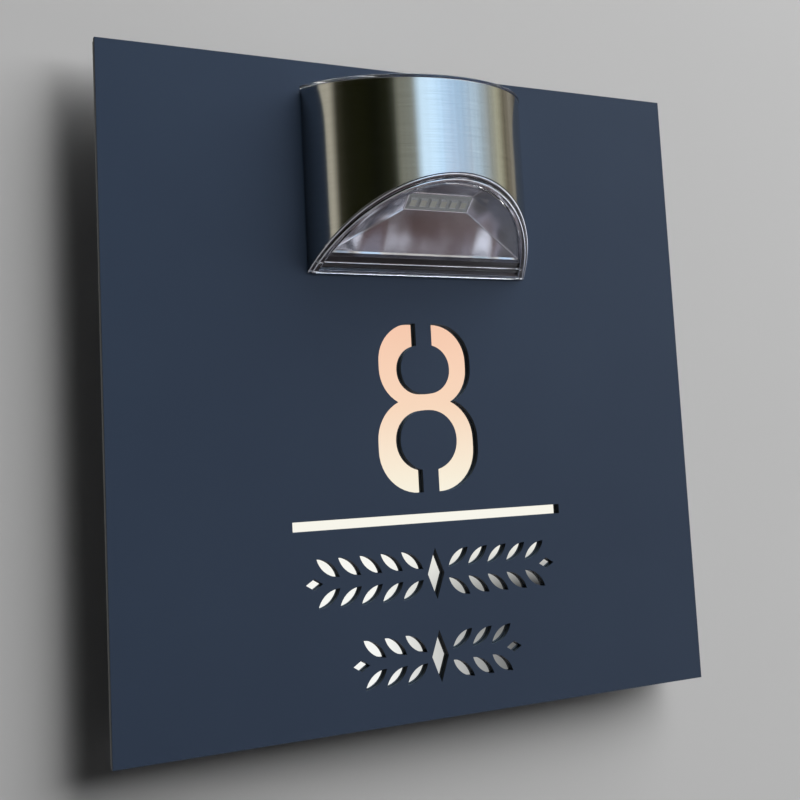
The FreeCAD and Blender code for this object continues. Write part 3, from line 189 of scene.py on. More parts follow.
def noise(tree, size, stretch=(1, 1, 1), detail=3.0):
    """Noise whose patches are about size metres across."""
    made = add(tree, "ShaderNodeTexNoise", Scale=1 / size, Detail=detail)
    wire(tree, place(tree, stretch), made.inputs["Vector"])
    return made.outputs["Fac"]


def tones(tree, fac, *stops):
    """Colour ramp over a value; each stop is (position, (red, green, blue))."""
    ramp = add(tree, "ShaderNodeValToRGB")
    elements = ramp.color_ramp.elements
    while len(elements) > 1:
        elements.remove(elements[-1])
    elements[0].position, elements[0].color = stops[0][0], (*stops[0][1], 1)
    for position, colour in stops[1:]:
        elements.new(position).color = (*colour, 1)
    wire(tree, fac, ramp.inputs["Fac"])
    return ramp.outputs["Color"]


def between(tree, fac, low, high, start=0.0, end=1.0):
    """Value taken from the range start to end into the range low to high."""
    made = add(tree, "ShaderNodeMapRange")
    for name, number in zip(("From Min", "From Max", "To Min", "To Max"), (start, end, low, high)):
        made.inputs[name].default_value = number
    wire(tree, fac, made.inputs["Value"])
    return made.outputs["Result"]


def relief(tree, shader, height_map, height):
    """Bump of a given height in metres on the shader."""
    bump = add(tree, "ShaderNodeBump", Strength=1.0, Distance=height)
    wire(tree, height_map, bump.inputs["Height"])
    wire(tree, bump.outputs["Normal"], shader.inputs["Normal"])


def compute(tree, operation, *terms):
    """Math node over sockets and plain numbers."""
    made = add(tree, "ShaderNodeMath", operation=operation)
    for socket, term in zip(made.inputs, terms):
        if isinstance(term, (int, float)):
            socket.default_value = term
        else:
            wire(tree, term, socket)
    return made.outputs["Value"]


def axes_of(tree, socket):
    """The three numbers of a vector socket."""
    made = add(tree, "ShaderNodeSeparateXYZ")
    wire(tree, socket, made.inputs["Vector"])
    return made.outputs["X"], made.outputs["Y"], made.outputs["Z"]


def axes_on_piece(tree, kind="Object"):
    """Three numbers of a point in the piece's own coordinates, or of its surface direction."""
    return axes_of(tree, add(tree, "ShaderNodeTexCoord").outputs[kind])


def mix_colour(tree, fac, first, second):
    """Colour that goes from first to second; both are sockets or plain colours."""
    made = add(tree, "ShaderNodeMix", data_type="RGBA")
    wire(tree, fac, made.inputs["Factor"])
    slots = [socket for socket in made.inputs if socket.type == "RGBA"]
    for socket, colour in zip(slots, (first, second)):
        if isinstance(colour, tuple):
            socket.default_value = (*colour, 1)
        else:
            wire(tree, colour, socket)
    return [socket for socket in made.outputs if socket.type == "RGBA"][0]


print("helpers for patterns ready")

# %% [markdown]
# ## Plaque finish
# The plaque is a composite sheet: two thin skins with a matt navy coat over a black core, so the
# face is blue and every cut edge is black. One material can do both, because the direction of the
# surface tells a skin from a cut edge. The coat has a grain of a few tenths of a millimetre, which
# softens its shine.

# %% Navy coat over a black core
NAVY = (0.026, 0.039, 0.066)
NAVY_WORN = (0.028, 0.042, 0.07)
CORE_BLACK = (0.004, 0.005, 0.008)
COAT_GRAIN = 0.35 * MM
COAT_RELIEF = 0.004 * MM
SQUARELY = 0.6


def skin_mask(tree):
    """1 on surfaces that face front or back, 0 on cut edges."""
    _, facing, _ = axes_on_piece(tree, "Normal")
    return compute(tree, "GREATER_THAN", compute(tree, "ABSOLUTE", facing), SQUARELY)


def panel_finish():
    """Matt navy coat on the faces and a black core on the edges."""
    material, tree, shader = start_finish("navy_coat", Roughness=0.5, Specular_IOR_Level=0.3)
    drift = tones(tree, noise(tree, 60 * MM), (0.35, NAVY), (0.7, NAVY_WORN))
    face = skin_mask(tree)
    wire(tree, mix_colour(tree, face, CORE_BLACK, drift), shader.inputs["Base Color"])
    fine = noise(tree, COAT_GRAIN, detail=2.0)
    wire(tree, between(tree, fine, 0.46, 0.6), shader.inputs["Roughness"])
    relief(tree, shader, fine, COAT_RELIEF)
    return material


finishes["panel_finish"] = panel_finish()
print("plaque finish made")

# %% [markdown]
# ## Mirror sheet
# The backing sheet is silvered acrylic. Its front reflects, and its back and edges have a grey
# protective paint. Surface direction picks between a mirror shader and a painted one.

# %% Silvered acrylic
MIRROR_TINTS = ((0.86, 0.85, 0.83), (0.88, 0.87, 0.86))
BACK_PAINTS = ((0.1, 0.103, 0.108), (0.13, 0.134, 0.14))


def mirror_finish():
    """Mirror on the side that faces front, grey paint elsewhere."""
    material, tree, shader = start_finish("silvered_acrylic", Metallic=1.0, Roughness=0.015)
    haze = noise(tree, 25 * MM)
    wire(tree, tones(tree, haze, (0.3, MIRROR_TINTS[0]), (0.8, MIRROR_TINTS[1])),
         shader.inputs["Base Color"])
    wire(tree, between(tree, haze, 0.01, 0.03), shader.inputs["Roughness"])
    relief(tree, shader, noise(tree, 40 * MM, detail=1.0), 0.01 * MM)
    paint = add(tree, "ShaderNodeBsdfPrincipled", Roughness=0.55)
    speckle = noise(tree, 0.8 * MM)
    wire(tree, tones(tree, speckle, (0.3, BACK_PAINTS[0]), (0.75, BACK_PAINTS[1])),
         paint.inputs["Base Color"])
    _, facing, _ = axes_on_piece(tree, "Normal")
    front = compute(tree, "LESS_THAN", facing, -SQUARELY)
    blend_shaders(tree, front, paint, shader)
    return material


finishes["mirror_face"] = mirror_finish()
print("mirror finish made")

# %% [markdown]
# ## Brushed shell
# The lamp's shell is stainless sheet, brushed round the curve before it was bent. The brush leaves
# fine level scratches, so reflections smear upwards and downwards but keep crisp sides: that is
# what an anisotropic shader does. The scratches themselves are noise squeezed to about a sixth of a
# millimetre in height and drawn out along the curve, with fewer and longer ones among them.

# %% Brushed stainless steel
STEEL = (0.67, 0.66, 0.63)
STEEL_DARK = (0.57, 0.56, 0.53)
BRUSH_PITCH = 0.16 * MM
BRUSH_LENGTH = 18 * MM
LONG_BRUSH_LENGTH = 90 * MM
BRUSH_RELIEF = 0.001 * MM


def around(tree):
    """Coordinates on the shell: metres along the curve, across nothing, metres up."""
    across, depth, up = axes_on_piece(tree)
    turn = compute(tree, "ARCTAN2", across, compute(tree, "SUBTRACT", shell_axis_y, depth))
    along = compute(tree, "MULTIPLY", turn, shell_radius)
    joined = add(tree, "ShaderNodeCombineXYZ")
    wire(tree, along, joined.inputs["X"])
    wire(tree, up, joined.inputs["Z"])
    return joined.outputs["Vector"]


def scratches(tree, coordinates, pitch, length):
    """Noise drawn out to length along the curve and squeezed to pitch in height."""
    mapping = add(tree, "ShaderNodeMapping", Scale=(1 / length, 1, 1 / pitch))
    wire(tree, coordinates, mapping.inputs["Vector"])
    made = add(tree, "ShaderNodeTexNoise", Scale=1.0, Detail=4.0)
    wire(tree, mapping.outputs["Vector"], made.inputs["Vector"])
    return made.outputs["Fac"]


def stainless_finish():
    """Steel with level brush lines and a sharp sideways reflection."""
    material, tree, shader = start_finish(
        "brushed_stainless", Metallic=1.0, Roughness=0.16, Anisotropic=0.85, Anisotropic_Rotation=0.25)
    curve = around(tree)
    lines = scratches(tree, curve, BRUSH_PITCH, BRUSH_LENGTH)
    long_lines = scratches(tree, curve, 4 * BRUSH_PITCH, LONG_BRUSH_LENGTH)
    both = compute(tree, "MULTIPLY_ADD", lines, 0.75, compute(tree, "MULTIPLY", long_lines, 0.25))
    wire(tree, tones(tree, both, (0.3, STEEL_DARK), (0.6, STEEL)), shader.inputs["Base Color"])
    wire(tree, between(tree, both, 0.13, 0.19, 0.3, 0.7), shader.inputs["Roughness"])
    tangent = add(tree, "ShaderNodeTangent", direction_type="RADIAL", axis="Z")
    wire(tree, tangent.outputs["Tangent"], shader.inputs["Tangent"])
    relief(tree, shader, lines, BRUSH_RELIEF)
    return material


finishes["stainless"] = stainless_finish()
print("brushed steel made")

# %% [markdown]
# ## Clear plastic
# The window and the roof pane are moulded acrylic, clear with a trace of haze. A glass-like shader
# bends light rightly. Shadow rays would stop at it, though, and leave the lamp's inside black, so
# for shadow rays alone the plastic is transparent, as a thin clear pane nearly is.

# %% Moulded acrylic
CLEAR_TINT = (0.97, 0.98, 0.98)


def clear_finish():
    """Acrylic that bends light and casts almost no shadow."""
    material, tree, shader = start_finish(
        "clear_acrylic", Base_Color=(*CLEAR_TINT, 1), Roughness=0.02, IOR=1.49, Transmission_Weight=1.0)
    haze = noise(tree, 12 * MM)
    wire(tree, between(tree, haze, 0.01, 0.05), shader.inputs["Roughness"])
    relief(tree, shader, noise(tree, 9 * MM, detail=1.0), 0.01 * MM)
    rays = add(tree, "ShaderNodeLightPath")
    passing = add(tree, "ShaderNodeBsdfTransparent", Color=(*CLEAR_TINT, 1))
    blend_shaders(tree, rays.outputs["Is Shadow Ray"], shader, passing)
    return material


finishes["clear_plastic"] = clear_finish()
print("clear plastic made")

# %% [markdown]
# Light that enters a clear moulding is trapped by total reflection and comes out at its rounded edges,
# which then look like silver wire. That light is painted here: a narrow band of bright metallic silver
# on the rounds alone is a painted highlight that gives that at once.

# %% Painted highlight on the rounds of a clear moulding
EDGE_HIGHLIGHT = (0.93, 0.95, 0.99)


def painted_edge_highlight():
    """Painted highlight: a bright silvery metal band on the rounded edges of clear plastic, in place of the
    light that leaks out there.
    """
    material, tree, shader = start_finish("bright_edge", Metallic=1.0)
    flow = noise(tree, 4 * MM)
    wire(tree, tones(tree, flow, (0.3, tuple(0.8 * share for share in EDGE_HIGHLIGHT)), (0.7, EDGE_HIGHLIGHT)),
         shader.inputs["Base Color"])
    wire(tree, between(tree, flow, 0.12, 0.25, 0.3, 0.7), shader.inputs["Roughness"])
    return material


bright_edge = painted_edge_highlight()
print("bright edge made")

# %% [markdown]
# ## Plain mouldings, rubber, foam and plated metal
# Many small pieces have one colour with a fine grain: spark-eroded plastic, rubber, foam, zinc. They
# differ in the size and the height of the grain and in their shine, so one function makes them all
# from a short list.


# %% Grained finishes from a list
WIDE_PATCHES = 20


def grained(name, dark, light, rough_low, rough_high, grain, height, metallic=0.0):
    """Finish with a grain that shows in its colour, its shine and its relief."""
    material, tree, shader = start_finish(name, Metallic=metallic)
    fine = noise(tree, grain)
    wide = noise(tree, WIDE_PATCHES * grain)
    both = compute(tree, "MULTIPLY", compute(tree, "ADD", fine, wide), 0.5)
    wire(tree, tones(tree, both, (0.35, dark), (0.65, light)), shader.inputs["Base Color"])
    wire(tree, between(tree, fine, rough_low, rough_high, 0.3, 0.7), shader.inputs["Roughness"])
    relief(tree, shader, fine, height)
    return material


GRAINED = (
    # slot, dark colour, light colour, shine, grain, relief, metallic
    ("foam_tape", (0.03, 0.03, 0.032), (0.07, 0.07, 0.075), 0.75, 0.95, 0.5 * MM, 0.05 * MM, 0.0),
    ("zinc_steel", (0.5, 0.51, 0.53), (0.72, 0.73, 0.75), 0.25, 0.42, 0.9 * MM, 0.003 * MM, 1.0),
    ("nylon", (0.1, 0.1, 0.108), (0.16, 0.16, 0.17), 0.42, 0.6, 0.3 * MM, 0.01 * MM, 0.0),
    ("soft_rubber", (0.012, 0.012, 0.012), (0.028, 0.028, 0.028), 0.7, 0.88, 0.4 * MM, 0.015 * MM, 0.0),
    ("black_moulding", (0.01, 0.0105, 0.012), (0.022, 0.023, 0.026), 0.38, 0.55, 0.25 * MM, 0.012 * MM, 0.0),
    ("component_black", (0.015, 0.015, 0.017), (0.04, 0.04, 0.045), 0.45, 0.65, 0.2 * MM, 0.005 * MM, 0.0),
    ("spring_steel", (0.68, 0.67, 0.65), (0.8, 0.79, 0.77), 0.12, 0.22, 0.4 * MM, 0.002 * MM, 1.0),
    ("button_grey", (0.08, 0.08, 0.088), (0.13, 0.13, 0.14), 0.5, 0.68, 0.2 * MM, 0.008 * MM, 0.0),
)
for slot, dark, light, rough_low, rough_high, grain, height, metallic in GRAINED:
    finishes[slot] = grained(slot, dark, light, rough_low, rough_high, grain, height, metallic)
print(len(GRAINED), "grained finishes made")

# %% [markdown]
# ## Reflector
# The tray behind the window is black plastic with a vacuum-metallised skin. Each facet is a little
# bowed, as thin mouldings are, so it shows a sweep of its surroundings instead of one flat tone. The
# bow is a relief that falls with the square of the height from a level a little below the middle. The
# side facets also have one soft wave outwards, and small ripples of the moulding ride on both. The
# folds are smoother than the facets, and their skin is painted brighter than the facets' skin, a
# painted highlight that makes them show a bright line.

# %% Metallised moulding
TRAY_SKIN = ((0.62, 0.6, 0.62), (0.78, 0.77, 0.8))
TRAY_BOW = 7.0
SIDE_WAVE = (22 * MM, 50 * MM)
SIDE_BOW = 1.0 * MM
TOP_SHARE, BOTTOM_SHARE = 0.4, 0.6


def metallised_finish(name, rough_low, rough_high, ripple_height, shine=1.0):
    """Bright skin over bowed and slightly rippled plastic; shine scales the skin colour, and above 1 it
    paints a highlight.
    """
    material, tree, shader = start_finish(name, Metallic=1.0)
    ripple = noise(tree, 16 * MM, (1, 1, 0.5), detail=1.0)
    skins = [tuple(shine * share for share in colour) for colour in TRAY_SKIN]
    wire(tree, tones(tree, ripple, (0.3, skins[0]), (0.7, skins[1])), shader.inputs["Base Color"])
    wire(tree, between(tree, ripple, rough_low, rough_high, 0.3, 0.7), shader.inputs["Roughness"])
    across, _, up = axes_on_piece(tree)
    tray_low, tray_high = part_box("reflector")
    from_middle = compute(tree, "SUBTRACT", up, TOP_SHARE * tray_high.z + BOTTOM_SHARE * tray_low.z)
    bow = compute(tree, "MULTIPLY", compute(tree, "MULTIPLY", from_middle, from_middle), -TRAY_BOW)
    outwards = between(tree, compute(tree, "ABSOLUTE", across), 0.0, 2 * math.pi, *SIDE_WAVE)
    bow = compute(tree, "MULTIPLY_ADD", compute(tree, "COSINE", outwards), SIDE_BOW, bow)
    relief(tree, shader, compute(tree, "MULTIPLY_ADD", ripple, ripple_height, bow), 1.0)
    return material


finishes["metallised"] = metallised_finish("metallised", 0.16, 0.26, 0.5 * MM)
# Painted highlight: the fold beads get a skin 22 percent brighter than the facets.
fold_highlight = metallised_finish("fold_highlight", 0.1, 0.16, 0.0, shine=1.22)
print("reflector finishes made")

# %% [markdown]
# ## Solar cell
# The cell is a dark blue silicon wafer under clear resin, with silver lines that collect its
# current: many hair-thin fingers side to side and two wider bars front to back. Each set of lines is
# a repeating distance compared with half the width of a line.

# %% Silicon with silver fingers
FINGER_PITCH, FINGER_WIDTH = 2.0 * MM, 0.12 * MM
BAR_PITCH, BAR_WIDTH = 26.0 * MM, 1.2 * MM
SILICON_TINTS = ((0.006, 0.012, 0.045), (0.014, 0.028, 0.09))
SILVER_LINE = (0.6, 0.61, 0.62)


def stripes(tree, coordinate, pitch, width):
    """1 on lines of a width that repeat at a pitch along a coordinate, 0 between them."""
    fold = compute(tree, "PINGPONG", coordinate, pitch / 2)
    return compute(tree, "LESS_THAN", fold, width / 2)


def cell_finish():
    """Blue silicon, silver lines and a clear coat."""
    material, tree, shader = start_finish(
        "silicon_cell", Roughness=0.25, Coat_Weight=1.0, Coat_Roughness=0.06)
    across, depth, _ = axes_on_piece(tree)
    fingers = stripes(tree, depth, FINGER_PITCH, FINGER_WIDTH)
    bars = stripes(tree, across, BAR_PITCH, BAR_WIDTH)
    silver = compute(tree, "MAXIMUM", fingers, bars)
    crystal = tones(tree, noise(tree, 5 * MM), (0.3, SILICON_TINTS[0]), (0.7, SILICON_TINTS[1]))
    wire(tree, mix_colour(tree, silver, crystal, SILVER_LINE), shader.inputs["Base Color"])
    wire(tree, between(tree, silver, 0.0, 0.9), shader.inputs["Metallic"])
    return material


finishes["cell_blue"] = cell_finish()
print("cell finish made")

# %% [markdown]
# ## Boards
# The control board has green solder mask over copper tracks, which show as slightly lighter lines
# under the mask. The LED strip has white mask, so that it throws light back. Brick courses with wide
# joints make believable tracks without a drawing.

# %% Solder mask over tracks
TRACK_SPACING = 9
TRACK_RELIEF = 0.02 * MM
MASK_LIFT = 1.15


def board_finish(name, mask, track, grain):
    """Solder mask with tracks that stand out a little."""
    material, tree, shader = start_finish(name, Roughness=0.3, Coat_Weight=0.3, Coat_Roughness=0.1)
    across, _, up = axes_on_piece(tree)
    flat = add(tree, "ShaderNodeCombineXYZ")
    wire(tree, across, flat.inputs["X"])
    wire(tree, up, flat.inputs["Y"])
    tracks = add(tree, "ShaderNodeTexBrick", Scale=1 / (TRACK_SPACING * grain),
                 Mortar_Size=0.03, Mortar_Smooth=0.3)
    wire(tree, flat.outputs["Vector"], tracks.inputs["Vector"])
    cloud = noise(tree, grain)
    base = tones(tree, cloud, (0.3, mask), (0.7, tuple(MASK_LIFT * share for share in mask)))
    wire(tree, mix_colour(tree, tracks.outputs["Fac"], base, track), shader.inputs["Base Color"])
    wire(tree, between(tree, cloud, 0.25, 0.4), shader.inputs["Roughness"])
    relief(tree, shader, tracks.outputs["Fac"], TRACK_RELIEF)
    return material


finishes["board_green"] = board_finish("green_board", (0.012, 0.09, 0.035), (0.03, 0.16, 0.06), 1.0 * MM)
finishes["board_white"] = board_finish("white_board", (0.6, 0.61, 0.59), (0.56, 0.57, 0.54), 0.6 * MM)
print("board finishes made")

# %% [markdown]
# ## LEDs, battery and wires
# An LED is a white body round a pale yellow phosphor. The battery has a green shrink sleeve with a
# bright band at one end. A wire is red or black, picked by a number that Blender gives to every loose
# part of a mesh.

# %% Small coloured finishes
PHOSPHOR_TINTS = ((0.84, 0.82, 0.66), (0.93, 0.91, 0.8))
SLEEVE_GREENS = ((0.02, 0.13, 0.05), (0.03, 0.18, 0.075))
BAND_METAL = (0.7, 0.68, 0.6)
BAND_SHARE = 0.22
WIRE_BLACKS = ((0.01, 0.01, 0.011), (0.02, 0.02, 0.022))
WIRE_REDS = ((0.36, 0.012, 0.01), (0.5, 0.02, 0.016))


def phosphor_finish():
    """Pale yellow resin with a faint cloud in it."""
    material, tree, shader = start_finish("phosphor", Roughness=0.3, Coat_Weight=0.6, Coat_Roughness=0.08)
    cloud = noise(tree, 0.5 * MM)
    wire(tree, tones(tree, cloud, (0.3, PHOSPHOR_TINTS[0]), (0.7, PHOSPHOR_TINTS[1])),
         shader.inputs["Base Color"])
    relief(tree, shader, cloud, 0.01 * MM)
    return material


def led_body_finish():
    """White ceramic-like body of an LED."""
    return grained("led_body", (0.74, 0.74, 0.72), (0.82, 0.82, 0.8), 0.35, 0.5, 0.2 * MM, 0.004 * MM)


def sleeve_finish():
    """Green shrink sleeve whose right end is a metallic band."""
    material, tree, shader = start_finish(
        "shrink_sleeve", Roughness=0.25, Coat_Weight=0.5, Coat_Roughness=0.1)
    cell_low, cell_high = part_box("battery")
    across, _, _ = axes_on_piece(tree)
    band = compute(tree, "GREATER_THAN", across, cell_high.x - BAND_SHARE * (cell_high.x - cell_low.x))
    creases = noise(tree, 1.5 * MM, (0.3, 1, 1))
    green = tones(tree, creases, (0.3, SLEEVE_GREENS[0]), (0.7, SLEEVE_GREENS[1]))
    wire(tree, mix_colour(tree, band, green, BAND_METAL), shader.inputs["Base Color"])
    wire(tree, compute(tree, "MULTIPLY", band, 0.9), shader.inputs["Metallic"])
    relief(tree, shader, creases, 0.02 * MM)
    return material


def wire_finish():
    """Red or black insulation, picked for each loose wire."""
    material, tree, shader = start_finish("insulation", Roughness=0.35)
    island = add(tree, "ShaderNodeNewGeometry")
    red = compute(tree, "GREATER_THAN", island.outputs["Random Per Island"], 0.5)
    grain = noise(tree, 0.6 * MM)
    dark = tones(tree, grain, (0.3, WIRE_BLACKS[0]), (0.7, WIRE_BLACKS[1]))
    bright = tones(tree, grain, (0.3, WIRE_REDS[0]), (0.7, WIRE_REDS[1]))
    wire(tree, mix_colour(tree, red, dark, bright), shader.inputs["Base Color"])
    relief(tree, shader, grain, 0.01 * MM)
    return material


finishes["led_resin"] = phosphor_finish()
finishes["cell_wrap"] = sleeve_finish()
finishes["wire_sleeve"] = wire_finish()
led_body = led_body_finish()
print(len(finishes), "slot finishes made")

# %% [markdown]
# ## Finishes on the pieces
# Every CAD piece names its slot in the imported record, so one loop gives each its finish.

# %% Assign the finishes
slot_of = {row["node"]: row["material_slot"] for row in frame["record"]["subparts"]}
for name, piece in nodes.items():
    piece.data.materials.clear()
    piece.data.materials.append(finishes[slot_of[name]])
print("finishes on", len(slot_of), "pieces")

# %% [markdown]
# ## Rounded edges
# CAD edges are perfectly sharp, and a real edge never is: its small round catches a line of light.
# A copy of the piece's mesh has its flat triangles merged into whole faces, then a bevel of the real
# size on every edge sharper than a set angle. The copy stands in for the CAD piece at the same place.

# %% Helper for rounded edges
MERGE_DISTANCE = 0.002 * MM
FLAT_ANGLE = math.radians(0.6)
SHARP_ANGLE = math.radians(32)
body_of = {name: piece["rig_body"] for name, piece in nodes.items()}


def clean_copy(name):
    """Edit mesh of a CAD piece with doubled corners joined and coplanar triangles merged."""
    shape = bmesh.new()
    shape.from_mesh(nodes[name].data)
    bmesh.ops.remove_doubles(shape, verts=shape.verts, dist=MERGE_DISTANCE)
    bmesh.ops.dissolve_limit(shape, angle_limit=FLAT_ANGLE, verts=shape.verts, edges=shape.edges)
    return shape


def stand_in(name, shape, *materials):
    """Object from an edit mesh that stands in for a CAD piece and rides where it rides."""
    mesh = bpy.data.meshes.new(f"{name}_finished")
    shape.to_mesh(mesh)
    shape.free()
    for attribute in [item for item in mesh.attributes if item.name == "custom_normal"]:
        mesh.attributes.remove(attribute)
    for material in materials:
        mesh.materials.append(material)
    mesh.shade_smooth()
    mesh.set_sharp_from_angle(angle=SHARP_ANGLE)
    piece = bpy.data.objects.new(f"{name}_finished", mesh)
    bpy.context.scene.collection.objects.link(piece)
    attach(piece, body_of[name])
    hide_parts(name)
    return piece


def round_edges(piece, width, segments=2):
    """Bevel of a real width on the sharp edges of a piece; gives the bevel back."""
    bevel = piece.modifiers.new("rounded_edges", "BEVEL")
    bevel.width = width
    bevel.segments = segments
    bevel.limit_method = "ANGLE"
    bevel.angle_limit = SHARP_ANGLE
    bevel.harden_normals = True
    return bevel


print("edge helper ready")

# %% [markdown]
# The widths are those of the real processes: a routed sheet, sheared steel, a moulding, a turned
# nylon sleeve. Wires, the spring and the cell keep their CAD edges, which are round or hidden. The
# window is rounded only where an edge stands out, not in its grooves, and those rounds carry the
# painted highlight band.

# %% Rounded pieces
EDGE_WIDTHS = {
    "front_panel": 0.2, "mirror_sheet": 0.2, "steel_shell": 0.12, "top_window": 0.35, "lens": 0.38,
    "back_cover": 0.3, "inner_housing": 0.2, "stud_bases": 0.4, "spacers": 0.4,
    "wall_pads": 0.25, "hanging_washers": 0.1, "hanging_nuts": 0.25, "hanging_screws": 0.2,
    "cover_screws": 0.15, "battery_holder": 0.2, "switch_button": 0.35,
}
# The lens rounds take the painted highlight band instead of their own plastic.
EDGE_FINISHES = {"lens": bright_edge}
SMOOTH_ROUNDS = ("lens", "top_window")


def mark_outer_edges(shape):
    """Bevel weight 1 on the sharp edges that stand out, 0 in the grooves."""
    weight = shape.edges.layers.float.new("bevel_weight_edge")
    for edge in shape.edges:
        sharp = len(edge.link_faces) == 2 and edge.calc_face_angle() > SHARP_ANGLE
        edge[weight] = float(sharp and edge.is_convex)


for name, width in EDGE_WIDTHS.items():
    shape = clean_copy(name)
    if name in EDGE_FINISHES:
        mark_outer_edges(shape)
    finish = finishes[slot_of[name]]
    piece = stand_in(name, shape, finish, EDGE_FINISHES.get(name, finish))
    bevel = round_edges(piece, width * MM, 3 if name in SMOOTH_ROUNDS else 2)
    bevel.material = 1
    if name in EDGE_FINISHES:
        bevel.limit_method = "WEIGHT"
    print(name, "edges rounded by", width, "mm")

# %% [markdown]
# ## Folds of the tray
# A fold in a thin moulding is never sharp: it has a small round bead, and so has the rim of the LED
# slot. Each bead is a thin bar along an edge between two facets, or between a facet and the rim. The LED
# board lies parallel to the window, so its widest face tells which way the rim faces.

# %% Tray with beads on its folds
BEAD_RADIUS = 0.42 * MM
BEAD_SIDES = 12
FOLD_ANGLE = math.radians(15)
SAME_WAY = 0.97
RIM_REACH = 0.1 * MM
TRAY_EDGE = 0.2 * MM
board = clean_copy("led_board")
window_axis = max(board.faces, key=lambda face: face.calc_area() * face.normal.z).normal.copy()
board.free()


def has_bead(edge, rim_level):
    """True for a fold between two facets that look down and for the rim of the slot."""
    if len(edge.link_faces) != 2 or edge.calc_face_angle() < FOLD_ANGLE:
        return False
    lean = [face.normal.dot(window_axis) for face in edge.link_faces]
    at_rim = sum(corner.co.dot(window_axis) for corner in edge.verts) / 2 > rim_level - RIM_REACH
    return min(lean) > -SAME_WAY and (max(lean) < 0 or (at_rim and min(lean) < 0))


def add_bead(shape, start, end):
    """Thin bar between two points, in the finish of the folds with its painted highlight."""
    spot = Matrix.Translation((start + end) / 2) @ (end - start).to_track_quat("Z", "Y").to_matrix().to_4x4()
    made = bmesh.ops.create_cone(shape, cap_ends=True, segments=BEAD_SIDES, radius1=BEAD_RADIUS,
                                 radius2=BEAD_RADIUS, depth=(end - start).length, matrix=spot)
    for corner in made["verts"]:
        for face in corner.link_faces:
            face.material_index = 1


tray = clean_copy("reflector")
rim_level = max(corner.co.dot(window_axis) for corner in tray.verts)
folds = [[corner.co.copy() for corner in edge.verts] for edge in tray.edges if has_bead(edge, rim_level)]
for start, end in folds:
    add_bead(tray, start, end)
round_edges(stand_in("reflector", tray, finishes["metallised"], fold_highlight), TRAY_EDGE)
bead_length = sum((end - start).length for start, end in folds)
print(len(folds), "folds with beads,", round(bead_length / MM), "mm in all")

# %% [markdown]
# ## Threaded studs
# The four studs have a plain neck in their sleeves and an M5 thread from the wall's face on, which
# shows from behind. A thread is a ridge that climbs by its pitch in every turn, so the surface can be
# laid as a grid round the axis in which the radius depends on height and angle together. The crests
# keep the CAD stud's radius.

# %% Studs with a neck and a thread
THREAD_PITCH = 0.8 * MM
THREAD_DEPTH = 0.45 * MM
THREAD_SIDES = 24
THREAD_STEPS = 6
FLANK_STEEPNESS = 1.4
POINT_LENGTH = 0.8 * MM
POINT_SLOPE = 0.8
NECK_LEVEL = -1 * MM
stud_low, stud_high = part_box("wall_studs")
one_stud = [v.co for v in nodes["wall_studs"].data.vertices if v.co.x < 0 and v.co.z < 0]


def half_width(points):
    """Half of how far a set of points reaches from side to side."""
    sides = [point.x for point in points]
    return (max(sides) - min(sides)) / 2


stud_radius = half_width(one_stud)
neck_radius = half_width([point for point in one_stud if point.y < NECK_LEVEL])


def add_ring(shape, centre, y, reach_at):
    """Ring of corners round a stud's axis; reach_at gives the radius at each side."""
    ring = []
    for side in range(THREAD_SIDES):
        angle = 2 * math.pi * side / THREAD_SIDES
        reach = reach_at(side / THREAD_SIDES)
        ring.append(shape.verts.new((centre[0] + reach * math.cos(angle), y,
                                     centre[1] + reach * math.sin(angle))))
    return ring


def add_stud(shape, centre):
    """Closed rod along Y: a plain neck up to the wall's face, then the thread."""
    rings = [add_ring(shape, centre, y, lambda _: neck_radius) for y in (stud_low.y, 0)]
    steps = int(stud_high.y / THREAD_PITCH * THREAD_STEPS)
    for step in range(steps + 1):
        y = stud_high.y * step / steps
        to_point = max(0.0, POINT_LENGTH - (stud_high.y - y))

        def reach_at(part, y=y, to_point=to_point):
            valley = 1 - abs(2 * ((y / THREAD_PITCH + part) % 1.0) - 1)
            return stud_radius - THREAD_DEPTH * min(1.0, FLANK_STEEPNESS * valley) - POINT_SLOPE * to_point

        rings.append(add_ring(shape, centre, y, reach_at))
    for lower, upper in zip(rings, rings[1:]):
        for side in range(THREAD_SIDES):
            after = (side + 1) % THREAD_SIDES
            shape.faces.new((lower[side], upper[side], upper[after], lower[after]))
    shape.faces.new(rings[0])
    shape.faces.new(list(reversed(rings[-1])))


studs = bmesh.new()
for x in (stud_low.x + stud_radius, stud_high.x - stud_radius):
    for z in (stud_low.z + stud_radius, stud_high.z - stud_radius):
        add_stud(studs, (x, z))
bmesh.ops.recalc_face_normals(studs, faces=studs.faces)
stand_in("wall_studs", studs, finishes["zinc_steel"])
print("four studs with", round(stud_high.y / THREAD_PITCH), "turns of thread")

# %% [markdown]
# ## LEDs
# Each LED is a flat white body with a sunk square of phosphor in the side that faces the window. The
# face that looks down is found on every body, drawn in and sunk, and takes the phosphor.

# %% Bodies with sunk phosphor
PHOSPHOR_INSET = 0.45 * MM
PHOSPHOR_DEPTH = 0.15 * MM
PHOSPHOR_WALL = 0.05 * MM
LOOKS_DOWN = -0.5
LED_EDGE = 0.08 * MM
led_shape = clean_copy("leds")
led_faces = [face for face in led_shape.faces if face.normal.z < LOOKS_DOWN]
bmesh.ops.inset_individual(led_shape, faces=led_faces, thickness=PHOSPHOR_INSET, depth=0)
bmesh.ops.inset_individual(led_shape, faces=led_faces, thickness=PHOSPHOR_WALL, depth=-PHOSPHOR_DEPTH)
for face in led_faces:
    face.material_index = 1
round_edges(stand_in("leds", led_shape, led_body, finishes["led_resin"]), LED_EDGE)
print(len(led_faces), "LEDs with phosphor")

